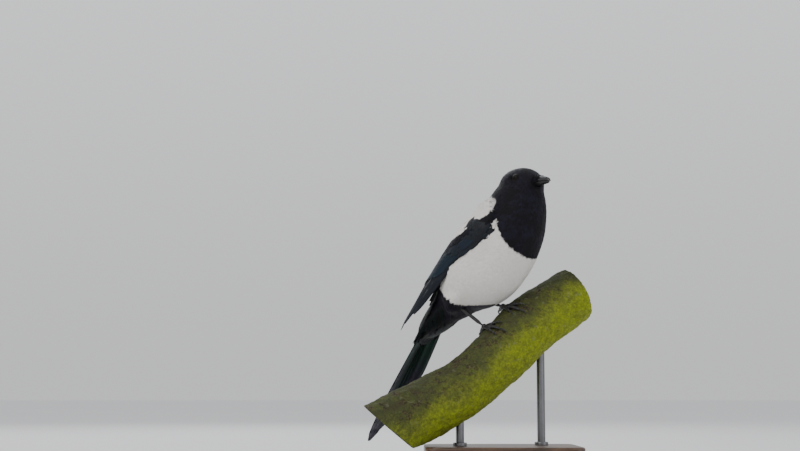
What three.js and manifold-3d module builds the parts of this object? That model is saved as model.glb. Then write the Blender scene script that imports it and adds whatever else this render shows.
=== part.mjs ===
// A Eurasian magpie perched on a sloping length of branch, held over a flat base by two rods.
// Life size, in millimetres, +Z up, origin at the centre of the underside of the base.
// The viewer stands at -Y: the bird faces +X and is turned part of the way towards the viewer.
import * as THREE from "three";
import { mergeVertices } from "three/addons/utils/BufferGeometryUtils.js";
import Module from "manifold-3d";

const wasm = await Module();
wasm.setup();

const GAP = 0.3; // clearance left between neighbouring pieces
const TURN = Math.PI * 2;
const radians = THREE.MathUtils.degToRad;
const mix = THREE.MathUtils.lerp;
const clamp = THREE.MathUtils.clamp;
const ease = THREE.MathUtils.smoothstep;

// Driving dimensions of the stand and the perch
const BASE = { long: 190, deep: 140, thick: 28, corner: 14, bevel: 3 };
const ROD = { radius: 5, sides: 16 };
const ROD_PLACES = [
  { name: "stand_rod_low", x: -52, y: -15 },
  { name: "stand_rod_high", x: 50, y: 15 },
];
const PERCH_RADIUS = 36;
const PERCH_SWELL = 1.2; // how far the bark stands in and out of that radius
const PERCH_RECEDE = 0.3; // how far the branch runs back for each millimetre to the right

// Driving dimensions of the bird
const FEET_MIDDLE = new THREE.Vector3(-11.8, 0, 182); // between the feet, on the crest of the branch
const HEADING = radians(-35); // turned from +X towards the viewer
const TRUNK_PITCH = radians(53); // how steeply the trunk rises
const TRUNK_CENTRE = { forward: -5, up: 67 }; // from the middle of the feet
const TAIL = { length: 215, thick: 5, pitch: radians(56), turn: radians(6) };
const TAIL_BASE = { along: -76, dorsal: 27 };
const HEAD_CENTRE = new THREE.Vector3(47.5, 0, 165);
const HEAD_TURN = radians(-25); // to its right, further than the trunk
const HEAD_LIFT = radians(0);
const EYE = { radius: 5.8, forward: 11.5, side: 17.4, up: 5.2 };
const BILL = { start: 20, upper: 38, lower: 36, width: 6.4, ridge: 7.4, keel: 4.6, gape: -0.6 };
const TARSUS_RADIUS = 2.1;
const FOOT_TURN = radians(-24); // the toes lie across the branch

// The pieces' colours
const BLACK_FEATHER = new THREE.MeshStandardMaterial({ color: 0x0b0c12, roughness: 0.55, metalness: 0 });
const BLUE_FEATHER = new THREE.MeshStandardMaterial({ color: 0x10223a, roughness: 0.4, metalness: 0.1 });
const TAIL_FEATHER = new THREE.MeshStandardMaterial({ color: 0x0d1f1c, roughness: 0.4, metalness: 0.1 });
const WHITE_FEATHER = new THREE.MeshStandardMaterial({ color: 0xd9d6d0, roughness: 0.8, metalness: 0 });
const HORN = new THREE.MeshStandardMaterial({ color: 0x17181a, roughness: 0.4, metalness: 0 });
const EYE_BROWN = new THREE.MeshStandardMaterial({ color: 0x120a06, roughness: 0.1, metalness: 0 });
const BARK = new THREE.MeshStandardMaterial({ color: 0x6a7a1c, roughness: 0.9, metalness: 0 });
const WOOD = new THREE.MeshStandardMaterial({ color: 0x6b4a2e, roughness: 0.5, metalness: 0 });
const STEEL = new THREE.MeshStandardMaterial({ color: 0x2b2c2e, roughness: 0.4, metalness: 0.8 });

// A closed surface over a sphere's grid: place(t, angle) gives the point at a share t of the way
// from one pole to the other, at an angle round.
function dressed(sides, rings, place) {
  const made = new THREE.SphereGeometry(1, sides, rings);
  const { position, uv } = made.attributes;
  for (let i = 0; i < position.count; i += 1) {
    const t = Math.round((1 - uv.getY(i)) * rings) / rings;
    const angle = (Math.round(uv.getX(i) * sides) / sides) * TURN;
    const p = place(t, t === 0 || t === 1 ? 0 : angle);
    position.setXYZ(i, p.x, p.y, p.z);
  }
  return made;
}

// A three.js geometry as a solid, turned the right way out.
function solid(geometry) {
  const bare = geometry.index ? geometry.toNonIndexed() : geometry.clone();
  bare.deleteAttribute("normal");
  bare.deleteAttribute("uv");
  const merged = mergeVertices(bare, 1e-4);
  const corners = new Uint32Array(merged.index.array);
  const at = (n) => new THREE.Vector3().fromBufferAttribute(merged.attributes.position, corners[n]);
  let volume = 0;
  for (let n = 0; n < corners.length; n += 3) volume += at(n).dot(at(n + 1).cross(at(n + 2)));
  if (volume < 0) {
    for (let n = 0; n < corners.length; n += 3) {
      [corners[n + 1], corners[n + 2]] = [corners[n + 2], corners[n + 1]];
    }
  }
  return new wasm.Manifold(
    new wasm.Mesh({ numProp: 3, vertProperties: merged.attributes.position.array, triVerts: corners }),
  );
}

// A solid as a named mesh. What a cut left loose, such as a chip, is dropped.
function meshOf(name, cut, material) {
  const whole = cut.decompose().sort((a, b) => b.volume() - a.volume())[0];
  const { vertProperties, triVerts } = whole.getMesh();
  const geometry = new THREE.BufferGeometry();
  geometry.setAttribute("position", new THREE.BufferAttribute(vertProperties, 3));
  geometry.setIndex(new THREE.BufferAttribute(triVerts, 1));
  geometry.computeVertexNormals();
  const mesh = new THREE.Mesh(geometry, material);
  mesh.name = name;
  return mesh;
}

// Rows of numbers, read as smooth curves of their first column: row(rows, x) gives the other columns.
function row(rows, x) {
  let i = 0;
  while (i < rows.length - 2 && rows[i + 1][0] < x) i += 1;
  const at = (n) => rows[Math.min(Math.max(n, 0), rows.length - 1)];
  const [a, b, c, d] = [at(i - 1), at(i), at(i + 1), at(i + 2)];
  const span = c[0] - b[0];
  const t = (x - b[0]) / span;
  return b.slice(1).map((value, k) => {
    const next = c[k + 1];
    const out = ((next - a[k + 1]) / (c[0] - a[0] || 1)) * span;
    const into = ((d[k + 1] - value) / (d[0] - b[0] || 1)) * span;
    const [t2, t3] = [t * t, t * t * t];
    const [from, to] = [2 * t3 - 3 * t2 + 1, 3 * t2 - 2 * t3];
    return from * value + (t3 - 2 * t2 + t) * out + to * next + (t3 - t2) * into;
  });
}

// The bird's own frame, which stands on the branch.
const bird = new THREE.Group();
bird.rotation.z = HEADING;
bird.position.copy(FEET_MIDDLE);
bird.updateMatrixWorld(true);
const inStand = (place) => new THREE.Vector3(...place).applyMatrix4(bird.matrixWorld);

// In the bird's own frame X is forward, Y is its left and Z is up. In the trunk's frame a place is
// given along the trunk's axis, towards the back (dorsal) and to the left.
const ALONG = new THREE.Vector3(Math.cos(TRUNK_PITCH), 0, Math.sin(TRUNK_PITCH));
const DORSAL = new THREE.Vector3(-Math.sin(TRUNK_PITCH), 0, Math.cos(TRUNK_PITCH));
const LEFT = new THREE.Vector3(0, 1, 0);
function inTrunk(along, dorsal, left) {
  return new THREE.Vector3(TRUNK_CENTRE.forward, 0, TRUNK_CENTRE.up)
    .addScaledVector(ALONG, along)
    .addScaledVector(DORSAL, dorsal)
    .addScaledVector(LEFT, left);
}

// The body from under the tail to inside the head. Columns: along the trunk, shift towards the back,
// half depth, half width.
const BODY = [
  [-126, 26, 5, 11],
  [-112, 23.5, 11.5, 16],
  [-98, 20.5, 16, 18.5],
  [-82, 17, 19, 20],
  [-69, 12.5, 23.5, 22.5],
  [-56, 11, 28.5, 29],
  [-38, 5, 38, 38.5],
  [-12, 0.8, 45.7, 45],
  [14, -1, 47.5, 45],
  [38, -1.5, 46.5, 43.5],
  [58, 0, 43.5, 41],
  [76, 5, 39, 37.5],
  [92, 10, 34.5, 33],
  [106, 14.5, 27.5, 27],
  [118, 18, 18, 19],
  [125, 19, 10, 11],
];
const BODY_START = -129;
const BODY_END = 129;

function bodyPoint(along, angle, grow) {
  const step = 1;
  const [shift, deep, wide] = row(BODY, along);
  const slope = (row(BODY, along + step)[0] - row(BODY, along - step)[0]) / (2 * step);
  const lean = Math.atan(slope) * ease(along, 40, 76); // only the neck's sections lean with its curve
  const back = (deep + grow) * Math.cos(angle);
  return inTrunk(
    along - Math.sin(lean) * back,
    shift + Math.cos(lean) * back,
    (wide + grow) * Math.sin(angle),
  );
}

function bodySurface(grow) {
  return dressed(26, 30, (t, angle) => {
    const along = mix(BODY_START - grow, BODY_END + grow, t);
    if (t === 0 || t === 1) return inTrunk(along, row(BODY, along)[0], 0);
    return bodyPoint(along, angle, grow);
  });
}

// The head, along its own axis from the back of the skull to the bill. Columns: forward, half height
// above, half height below, half width.
const HEAD = [
  [-30, 5, 5, 8],
  [-26, 11, 12, 16],
  [-18, 17, 21, 23],
  [-9, 20.4, 27, 26.5],
  [2, 21, 28, 26.6],
  [10, 19.4, 26, 24],
  [18, 15.6, 20, 18.8],
  [24, 11.6, 14.4, 13.6],
  [29, 8.2, 10, 9.6],
];
const HEAD_BACK = -32;
const HEAD_FRONT = 32;
const headPlace = new THREE.Matrix4()
  .makeRotationFromEuler(new THREE.Euler(0, -HEAD_LIFT, HEAD_TURN, "ZYX"))
  .setPosition(HEAD_CENTRE);

function headSurface(grow) {
  return dressed(20, 14, (t, angle) => {
    const forward = mix(HEAD_BACK - grow, HEAD_FRONT + grow, t);
    const [above, below, wide] = row(HEAD, forward);
    const tall = Math.cos(angle) > 0 ? above : below;
    const radius = t === 0 || t === 1 ? 0 : 1;
    return new THREE.Vector3(
      forward,
      radius * (wide + grow) * Math.sin(angle),
      radius * (tall + grow) * Math.cos(angle),
    ).applyMatrix4(headPlace);
  });
}

// One half of the bill: a curved, tapering horn. side is 1 for the upper half and -1 for the lower.
function billHalf(side, grow) {
  const long = side > 0 ? BILL.upper : BILL.lower;
  const tall = side > 0 ? BILL.ridge : BILL.keel;
  return dressed(14, 9, (t, angle) => {
    const tip = Math.max(t, 0);
    const taper = Math.sqrt(Math.max(0, 1 - tip ** 2.2));
    const droop = -2.2 * ((long / BILL.upper) * tip) ** 3;
    const across = Math.sin(angle) * (BILL.width * taper * (1 - 0.25 * tip) + grow);
    const up = Math.max(Math.cos(angle), 0) * (tall * taper ** 0.8 + 2 * grow);
    const inside = t === 0 || t === 1 ? 0 : 1;
    return new THREE.Vector3(
      mix(BILL.start - grow, BILL.start + long + grow, tip),
      inside * across,
      BILL.gape + side * (GAP / 2 - grow + inside * up) + droop,
    ).applyMatrix4(headPlace);
  });
}

// A folded wing. Columns: along the trunk, then the edge near the spine and the edge on the flank,
// each as dorsal and sideways places, then the thickness.
const WING = [
  [-132, 48, 13, 45, 22, 1.6],
  [-119, 49, 8, 41, 28, 2.4],
  [-92, 49, 3, 35, 34, 3.4],
  [-64, 49.5, 2, 31, 37, 5],
  [-36, 48.5, 2, 26, 40, 6.5],
  [-4, 46, 4, 17, 45.5, 8],
  [30, 43.5, 8, 5, 48, 8],
  [60, 40, 14, -3, 45.5, 7],
];
const WING_TIP = -135;
const WING_POINT = 34; // how far from the tip the wing starts to narrow
const WING_BEND = 80;
const WING_SHOULDER = 34; // how far from the bend the wing starts to narrow
const WING_CREST = 0.97; // how full the wing is where its back turns into its side

function wingSurface(side) {
  return dressed(20, 18, (t, angle) => {
    const along = mix(WING_TIP, WING_BEND, t);
    const [nearN, nearW, farN, farW, thick] = row(WING, along);
    const bend = clamp((along - WING_BEND + WING_SHOULDER) / WING_SHOULDER, 0, 1);
    const tip = clamp((WING_TIP + WING_POINT - along) / WING_POINT, 0, 1);
    const narrow = Math.sqrt(1 - bend ** 2) * (1 - tip ** 2) ** 0.6;
    const across = (1 - Math.cos(angle) * narrow) / 2;
    const arc = (a, b, c) => (1 - across) ** 2 * a + 2 * across * (1 - across) * b + across ** 2 * c;
    const n = arc(nearN, nearN * WING_CREST, farN);
    const w = arc(nearW, farW * WING_CREST, farW);
    const outward = new THREE.Vector2(n, w).normalize();
    const lens = Math.sign(Math.sin(angle)) * Math.abs(Math.sin(angle)) ** 0.6;
    const half = lens * (thick / 2) * narrow ** 0.5;
    return inTrunk(along, n + outward.x * half, side * (w + outward.y * half));
  });
}

// The folded tail: long, graduated, and arched a little like a roof.
const TAIL_OUTLINE = [
  [0, 26],
  [0.25, 42],
  [0.45, 48],
  [0.58, 48],
  [0.74, 39],
  [0.88, 25],
  [0.96, 13],
  [1, 6],
];
const tailBack = new THREE.Vector3(-Math.cos(TAIL.pitch), 0, -Math.sin(TAIL.pitch));
const tailUp = new THREE.Vector3(-Math.sin(TAIL.pitch), 0, Math.cos(TAIL.pitch));
const tailTurn = new THREE.Matrix4().makeRotationZ(-TAIL.turn);

function tailSurface() {
  const root = inTrunk(TAIL_BASE.along, TAIL_BASE.dorsal, 0);
  return dressed(16, 16, (share, angle) => {
    const end = share === 0 || share === 1 ? 0 : 1;
    const half = (row(TAIL_OUTLINE, share)[0] / 2) * end;
    const thick = mix(TAIL.thick, 1.6, ease(share, 0, 1)) * end;
    const across = Math.cos(angle) * half;
    const arch = -0.012 * across * across;
    const level = (Math.sign(Math.sin(angle)) * Math.abs(Math.sin(angle)) ** 0.5 * thick) / 2;
    const sag = 5 * Math.sin(share * Math.PI * 0.5);
    const place = new THREE.Vector3()
      .addScaledVector(tailBack, share * TAIL.length)
      .addScaledVector(tailUp, arch + level + sag)
      .addScaledVector(LEFT, across)
      .applyMatrix4(tailTurn);
    return place.add(root);
  });
}

// A tapering tube along a smooth curve through the given places, with round ends.
function limb(places, radius, sides = 8, rings = 10) {
  const curve = new THREE.CatmullRomCurve3(places);
  const frames = curve.computeFrenetFrames(rings, false);
  return dressed(sides, rings, (t, angle) => {
    const i = Math.round(t * rings);
    const middle = curve.getPointAt(t);
    const end = t === 0 || t === 1 ? 0 : 1;
    const thick = radius(t) * end;
    return middle
      .addScaledVector(frames.normals[i], Math.cos(angle) * thick)
      .addScaledVector(frames.binormals[i], Math.sin(angle) * thick);
  });
}

// The branch's axis, in the stand's frame. Columns: to the right, height.
const PERCH_AXIS = [
  [-210, 20],
  [-165, 41],
  [-118, 61],
  [-52, 96],
  [-7, 132],
  [30, 170],
  [76, 203],
  [103, 219],
  [140, 236],
];
const PERCH_CUTS = {
  low: { from: [-171, 78.5], to: [-116, 31.5] },
  high: { x: 104, z: 219, slope: radians(27) },
};

// How far the bark stands off the branch's axis, at a place along it and an angle round it.
const barkRadius = (x, angle) =>
  PERCH_RADIUS + PERCH_SWELL * (Math.sin(x / 21 + 2 * angle) + 0.5 * Math.sin(x / 9 - 3 * angle));

function perchAxis(x) {
  return new THREE.Vector3(x, x * PERCH_RECEDE, row(PERCH_AXIS, x)[0]);
}

// The two directions square to the branch's axis: sideways, and over the top.
function perchSides(x) {
  const along = perchAxis(x + 1).sub(perchAxis(x - 1)).normalize();
  const side = new THREE.Vector3(0, 1, 0).cross(along).normalize();
  return { side, over: along.clone().cross(side) };
}

function perchSurface(grow) {
  return dressed(20, 25, (t, angle) => {
    const x = mix(-206, 136, t);
    const { side, over } = perchSides(x);
    const radius = t === 0 || t === 1 ? 0 : barkRadius(x, angle) + grow;
    return perchAxis(x)
      .addScaledVector(side, Math.cos(angle) * radius)
      .addScaledVector(over, Math.sin(angle) * radius);
  });
}

// The place on the bark nearest to a point, raised off it by lift.
function onBark(point, lift) {
  let nearest = perchAxis(-200).x;
  for (let x = -200; x < 130; x += 1) {
    if (perchAxis(x).distanceTo(point) < perchAxis(nearest).distanceTo(point)) nearest = x;
  }
  const { side, over } = perchSides(nearest);
  const out = point.clone().sub(perchAxis(nearest));
  const angle = Math.atan2(out.dot(over), out.dot(side));
  const radius = barkRadius(nearest, angle) + lift;
  const flat = side.multiplyScalar(Math.cos(angle)).addScaledVector(over, Math.sin(angle));
  const slip = out.dot(flat);
  return point.clone().addScaledVector(flat, radius - slip);
}

// A large block whose lower face passes through a place, facing away from a direction.
function beyond(place, direction, size = 600) {
  const away = direction.clone().normalize();
  const block = new THREE.BoxGeometry(size, size, size).translate(0, 0, size / 2);
  block.applyQuaternion(new THREE.Quaternion().setFromUnitVectors(new THREE.Vector3(0, 0, 1), away));
  return solid(block.translate(place.x, place.y, place.z));
}

function cutPerch(grow) {
  const { low, high } = PERCH_CUTS;
  const lowEdge = new THREE.Vector3(low.to[0] - low.from[0], 0, low.to[1] - low.from[1]);
  const lowOut = new THREE.Vector3(lowEdge.z, 0, -lowEdge.x).normalize();
  const highOut = new THREE.Vector3(Math.cos(high.slope), PERCH_RECEDE, Math.sin(high.slope)).normalize();
  return solid(perchSurface(grow))
    .subtract(beyond(new THREE.Vector3(low.to[0], 0, low.to[1]), lowOut))
    .subtract(beyond(new THREE.Vector3(high.x, 0, high.z), highOut));
}

// The stand
function standBase() {
  const [x, y, r] = [BASE.long / 2 - BASE.bevel, BASE.deep / 2 - BASE.bevel, BASE.corner];
  const outline = new THREE.Shape();
  outline.moveTo(-x + r, -y);
  outline.lineTo(x - r, -y);
  outline.absarc(x - r, -y + r, r, -Math.PI / 2, 0);
  outline.lineTo(x, y - r);
  outline.absarc(x - r, y - r, r, 0, Math.PI / 2);
  outline.lineTo(-x + r, y);
  outline.absarc(-x + r, y - r, r, Math.PI / 2, Math.PI);
  outline.lineTo(-x, -y + r);
  outline.absarc(-x + r, -y + r, r, Math.PI, Math.PI * 1.5);
  const plate = new THREE.ExtrudeGeometry(outline, {
    depth: BASE.thick - 2 * BASE.bevel,
    bevelThickness: BASE.bevel,
    bevelSize: BASE.bevel,
    bevelSegments: 1,
    curveSegments: 4,
  });
  plate.translate(0, 0, BASE.bevel);
  return plate;
}

function standRod(place) {
  const long = 240;
  const rod = new THREE.CylinderGeometry(ROD.radius, ROD.radius, long, ROD.sides);
  rod.rotateX(Math.PI / 2);
  rod.translate(place.x, place.y, BASE.thick + GAP + long / 2);
  return rod;
}

// Toes: heading from straight ahead, outwards, and length without the claw, radius, claw length
const TOES = [
  { name: "hind", heading: 174, long: 17, radius: 2.5, claw: 12.5 },
  { name: "inner", heading: -27, long: 20, radius: 2.1, claw: 9 },
  { name: "middle", heading: 1, long: 31, radius: 2.3, claw: 10.5 },
  { name: "outer", heading: 25, long: 24, radius: 2, claw: 8.5 },
];
// In the bird's frame: where each foot stands, its ankle and its knee
const FEET = {
  right: { side: -1, stands: [-7, -14, -4], ankle: [-43, -20, 23], knee: [0, -21, 56] },
  left: { side: 1, stands: [13, 12, 14], ankle: [-34, 22, 28], knee: [6, 23, 62] },
};

const FOOT_LIFT = 3.2; // the middle of the foot above the bark

// A toe laid along the bark from the foot, in even steps.
function toePlaces(foot, toe) {
  const turn = HEADING + FOOT_TURN + foot.side * radians(toe.heading);
  const step = toe.long / 5;
  const ahead = new THREE.Vector3(Math.cos(turn), Math.sin(turn), 0).multiplyScalar(step);
  const places = [onBark(inStand(foot.stands), toe.radius)];
  for (let i = 0; i < 5; i += 1) {
    const last = places[places.length - 1];
    const next = onBark(last.clone().add(ahead), toe.radius * mix(1, 0.85, i / 5));
    ahead.copy(next).sub(last).setLength(step);
    places.push(next);
  }
  return places;
}

function clawPlaces(toe, places) {
  const end = places[places.length - 1];
  const ahead = end.clone().sub(places[places.length - 2]).normalize();
  const tip = onBark(end.clone().addScaledVector(ahead, toe.claw * 0.85), 0.55);
  const hump = onBark(end.clone().lerp(tip, 0.45), toe.radius * 0.8 + toe.claw * 0.16);
  return [end.clone().addScaledVector(ahead, -0.8), hump, tip];
}

// The bare leg with its toes as one solid, the claws as meshes, and the room the leg takes up.
function footParts(which, perch) {
  const foot = FEET[which];
  const root = onBark(inStand(foot.stands), FOOT_LIFT);
  const ankle = inStand(foot.ankle);
  const shank = (radius) => solid(limb([ankle, ankle.clone().lerp(root, 0.5), root], () => radius, 8, 5));
  const pad = new THREE.SphereGeometry(3.6, 8, 6).translate(root.x, root.y, root.z);
  let made = shank(TARSUS_RADIUS).add(solid(pad));
  const claws = [];
  for (const toe of TOES) {
    const places = toePlaces(foot, toe);
    const girth = (t) => toe.radius * mix(1.05, 0.78, t) * (1 - 0.3 * t ** 8);
    made = made.add(solid(limb(places, girth, 6, 7)));
    const claw = (grow) => solid(limb(clawPlaces(toe, places), (t) => 1.25 * (1 - t) + 0.3 + grow, 6, 6));
    claws.push({ name: `claw_${which}_${toe.name}`, shape: claw(0), room: claw(GAP) });
  }
  made = made.subtract(perch);
  for (const { room } of claws) made = made.subtract(room);
  const meshes = claws.map(({ name, shape }) => meshOf(name, shape.subtract(perch), HORN));
  return { made, sleeve: shank(TARSUS_RADIUS + GAP), claws: meshes };
}

// The feathered part of the leg: full at the knee, narrowing round the bare shank at its hem.
function thighSurface(foot) {
  const knee = inStand(foot.knee);
  const ankle = inStand(foot.ankle);
  const hem = ankle.clone().lerp(onBark(inStand(foot.stands), FOOT_LIFT), 0.3);
  const places = [knee, knee.clone().lerp(ankle, 0.5), ankle, hem];
  return limb(places, (t) => (t < 0.8 ? 16 : mix(16, 3.8, ease(t, 0.8, 1))), 14, 12);
}

// Put together
const bodySolid = solid(bodySurface(0));
const headSolid = solid(headSurface(0));
const nearBody = solid(bodySurface(GAP)).add(solid(headSurface(GAP)));
const flesh = bodySolid.add(headSolid);

const neckOut = new THREE.Vector3(0.1, 0, 1).normalize();
const neckTop = new THREE.Vector3(34, 0, 137);
const neckFoot = inTrunk(52, 0, 0);
const aboveNeck = beyond(neckTop, neckOut);
const belowNeckTop = beyond(neckTop.clone().addScaledVector(neckOut, -GAP), neckOut.clone().negate());
const aboveTrunk = beyond(neckFoot, ALONG);
const belowNeck = beyond(neckFoot.clone().addScaledVector(ALONG, -GAP), ALONG.clone().negate());

const billUpper = solid(billHalf(1, 0));
const billLower = solid(billHalf(-1, 0));
const billRoom = solid(billHalf(1, GAP)).add(solid(billHalf(-1, GAP)));
let head = flesh.intersect(aboveNeck).subtract(billRoom);
for (const [which, { side }] of Object.entries(FEET)) {
  const { x, y, z } = new THREE.Vector3(EYE.forward, side * EYE.side, EYE.up).applyMatrix4(headPlace);
  const ball = (radius) => solid(new THREE.SphereGeometry(radius, 12, 8).translate(x, y, z));
  head = head.subtract(ball(EYE.radius + GAP));
  bird.add(meshOf(`eye_${which}`, ball(EYE.radius), EYE_BROWN));
}
bird.add(meshOf("head", head, BLACK_FEATHER));
bird.add(meshOf("bill_upper", billUpper, HORN));
bird.add(meshOf("bill_lower", billLower, HORN));
bird.add(meshOf("neck", flesh.intersect(belowNeckTop).intersect(aboveTrunk), BLACK_FEATHER));

const trunk = flesh.intersect(belowNeck).intersect(belowNeckTop);
bird.add(meshOf("trunk", trunk, WHITE_FEATHER));
bird.add(meshOf("tail", solid(tailSurface()).subtract(nearBody), TAIL_FEATHER));

const stand = new THREE.Group();
const nearPerch = cutPerch(GAP);
stand.add(meshOf("perch_branch", cutPerch(0), BARK));
stand.add(meshOf("stand_base", solid(standBase()), WOOD));
for (const place of ROD_PLACES) {
  const pieces = solid(standRod(place)).subtract(nearPerch).decompose();
  const lowest = pieces.sort((a, b) => a.boundingBox().min[2] - b.boundingBox().min[2])[0];
  stand.add(meshOf(place.name, lowest, STEEL));
}

const bodyInStand = nearBody.transform(bird.matrixWorld.elements);
for (const [which, foot] of Object.entries(FEET)) {
  bird.add(meshOf(`wing_${which}`, solid(wingSurface(foot.side)).subtract(nearBody), BLUE_FEATHER));
  const { made, sleeve, claws } = footParts(which, nearPerch);
  const thigh = solid(thighSurface(foot)).subtract(bodyInStand);
  const bare = made.subtract(bodyInStand);
  stand.add(meshOf(`foot_${which}`, bare, HORN));
  stand.add(meshOf(`thigh_${which}`, thigh.subtract(sleeve), BLACK_FEATHER));
  stand.add(...claws);
}

const part = new THREE.Group();
part.add(stand, bird);
export default part;
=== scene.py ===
"""A magpie perched on a cut length of branch, on a display stand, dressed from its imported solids."""

import math
from contextlib import contextmanager

import bmesh
import bpy
import numpy as np
from bpy.props import FloatProperty, FloatVectorProperty, IntProperty, PointerProperty
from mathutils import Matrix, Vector
from mathutils.bvhtree import BVHTree
from mathutils.kdtree import KDTree


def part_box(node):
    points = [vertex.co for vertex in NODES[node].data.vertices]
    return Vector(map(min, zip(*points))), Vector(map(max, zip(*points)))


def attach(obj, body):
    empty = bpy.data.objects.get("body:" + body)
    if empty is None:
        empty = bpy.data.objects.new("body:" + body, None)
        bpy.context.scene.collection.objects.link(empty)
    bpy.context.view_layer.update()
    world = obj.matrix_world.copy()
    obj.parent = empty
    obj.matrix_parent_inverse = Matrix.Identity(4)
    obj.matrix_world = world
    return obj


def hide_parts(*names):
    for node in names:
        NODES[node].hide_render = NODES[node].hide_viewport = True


bl_info = {
    "name": "Perched magpie",
    "version": (1, 0, 0),
    "blender": (4, 5, 0),
    "location": "View3D > Sidebar > Magpie",
    "description": "Skin, feathers, bill, feet, branch and stand of a life-size magpie",
    "category": "Object",
}

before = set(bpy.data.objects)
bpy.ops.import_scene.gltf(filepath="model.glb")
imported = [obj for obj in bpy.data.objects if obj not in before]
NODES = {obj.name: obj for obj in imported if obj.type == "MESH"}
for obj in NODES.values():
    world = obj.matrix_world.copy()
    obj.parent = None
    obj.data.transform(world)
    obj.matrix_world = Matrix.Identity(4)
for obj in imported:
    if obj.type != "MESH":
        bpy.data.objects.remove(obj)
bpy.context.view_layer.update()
MM = 0.001
FLESH = ("head", "neck", "trunk", "thigh_left", "thigh_right")
BILL_AND_EYES = ("bill_upper", "bill_lower", "eye_left", "eye_right")

# The solids' own measures, in millimetres

BIRD_TURN = math.radians(-35)
FEET_MIDDLE = np.array([-11.8, 0.0, 182.0])
TRUNK_PITCH = math.radians(53)
TRUNK_CENTRE = np.array([-5.0, 0.0, 67.0])
ALONG = np.array([math.cos(TRUNK_PITCH), 0.0, math.sin(TRUNK_PITCH)])
DORSAL = np.array([-math.sin(TRUNK_PITCH), 0.0, math.cos(TRUNK_PITCH)])
LEFT = np.array([0.0, 1.0, 0.0])
HEAD_CENTRE = np.array([47.5, 0.0, 165.0])
HEAD_TURN = math.radians(-25)
EYE = {"radius": 5.8, "forward": 11.5, "side": 17.4, "up": 5.2}
TAIL = {"length": 215, "pitch": math.radians(56), "turn": math.radians(6)}
TAIL_BASE = (-76, 27)
# share of the length, width
TAIL_OUTLINE = [[0, 26], [0.25, 42], [0.45, 48], [0.58, 48], [0.74, 39], [0.88, 25], [0.96, 13], [1, 6]]
# along the trunk, then the edge by the spine and the edge by the flank (dorsal, side), then thickness
WING = [
    [-132, 48, 13, 45, 22, 1.6],
    [-119, 49, 8, 41, 28, 2.4],
    [-92, 49, 3, 35, 34, 3.4],
    [-64, 49.5, 2, 31, 37, 5],
    [-36, 48.5, 2, 26, 40, 6.5],
    [-4, 46, 4, 17, 45.5, 8],
    [30, 43.5, 8, 5, 48, 8],
    [60, 40, 14, -3, 45.5, 7],
]
WING_CREST = 0.97
WING_TOP = 62
FEET = {
    "right": {"stands": (-7, -14, -1), "ankle": (-43, -20, 23)},
    "left": {"stands": (13, 12, 17), "ankle": (-34, 22, 28)},
}
PERCH_RADIUS = 36
# x and z of the branch's axis
PERCH_AXIS = [
    [-210, 20], [-165, 41], [-118, 61], [-52, 96], [-7, 132], [30, 170], [76, 203], [103, 219], [140, 236],
]
PERCH_RECEDE = 0.3
SAWN_LOW = ((-171, 78.5), (-116, 31.5))
SAWN_HIGH = {"x": 104, "z": 219, "slope": math.radians(27)}


def row(rows, x):
    """Rows of numbers as smooth curves of their first column: the other columns at x."""
    rows, x = np.asarray(rows, float), np.asarray(x, float)
    i = np.clip(np.searchsorted(rows[:, 0], x, side="left") - 1, 0, len(rows) - 2)
    a, b, c, d = (rows[np.clip(i + k, 0, len(rows) - 1)] for k in (-1, 0, 1, 2))
    span = c[..., :1] - b[..., :1]
    t = (x[..., None] - b[..., :1]) / span
    out = (c - a) / (c[..., :1] - a[..., :1]) * span
    into = (d - b) / (d[..., :1] - b[..., :1]) * span
    t2, t3 = t * t, t * t * t
    curve = (2 * t3 - 3 * t2 + 1) * b + (t3 - 2 * t2 + t) * out + (3 * t2 - 2 * t3) * c + (t3 - t2) * into
    return np.moveaxis(curve[..., 1:], -1, 0)


def ease(x, low, high):
    """0 below low, 1 above high, and smooth between them."""
    t = np.clip((np.asarray(x, float) - low) / (high - low), 0, 1)
    return t * t * (3 - 2 * t)


def turned(points, angle):
    """Points turned about Z."""
    c, s = math.cos(angle), math.sin(angle)
    x, y = points[..., 0], points[..., 1]
    return np.stack([c * x - s * y, s * x + c * y, points[..., 2]], -1)


def in_stand(points):
    """Millimetres in the bird's frame to metres in the stand's."""
    return (turned(np.asarray(points, float), BIRD_TURN) + FEET_MIDDLE) * MM


def in_bird(points):
    """Metres in the stand's frame to millimetres in the bird's."""
    return turned(np.asarray(points, float) / MM - FEET_MIDDLE, -BIRD_TURN)


def from_trunk(along, dorsal, left):
    """A place given along the trunk, towards the back and to the left, in the bird's frame."""
    along, dorsal, left = (np.asarray(v, float)[..., None] for v in (along, dorsal, left))
    return TRUNK_CENTRE + along * ALONG + dorsal * DORSAL + left * LEFT


def to_trunk(points):
    """The trunk's coordinates of places in the bird's frame."""
    off = points - TRUNK_CENTRE
    return off @ ALONG, off @ DORSAL, off @ LEFT


def from_head(points):
    """The head's frame to the bird's."""
    return turned(np.asarray(points, float), HEAD_TURN) + HEAD_CENTRE


def to_head(points):
    """The bird's frame to the head's."""
    return turned(points - HEAD_CENTRE, -HEAD_TURN)


def round_trunk(points):
    """Distance along the trunk, and the angle round it: 0 at the belly's middle, pi at the spine."""
    along, dorsal, left = to_trunk(points)
    return along, np.arctan2(np.abs(left), -dorsal)


def unit(vectors):
    """Vectors scaled to length 1."""
    return vectors / np.maximum(np.linalg.norm(vectors, axis=-1, keepdims=True), 1e-12)


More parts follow.
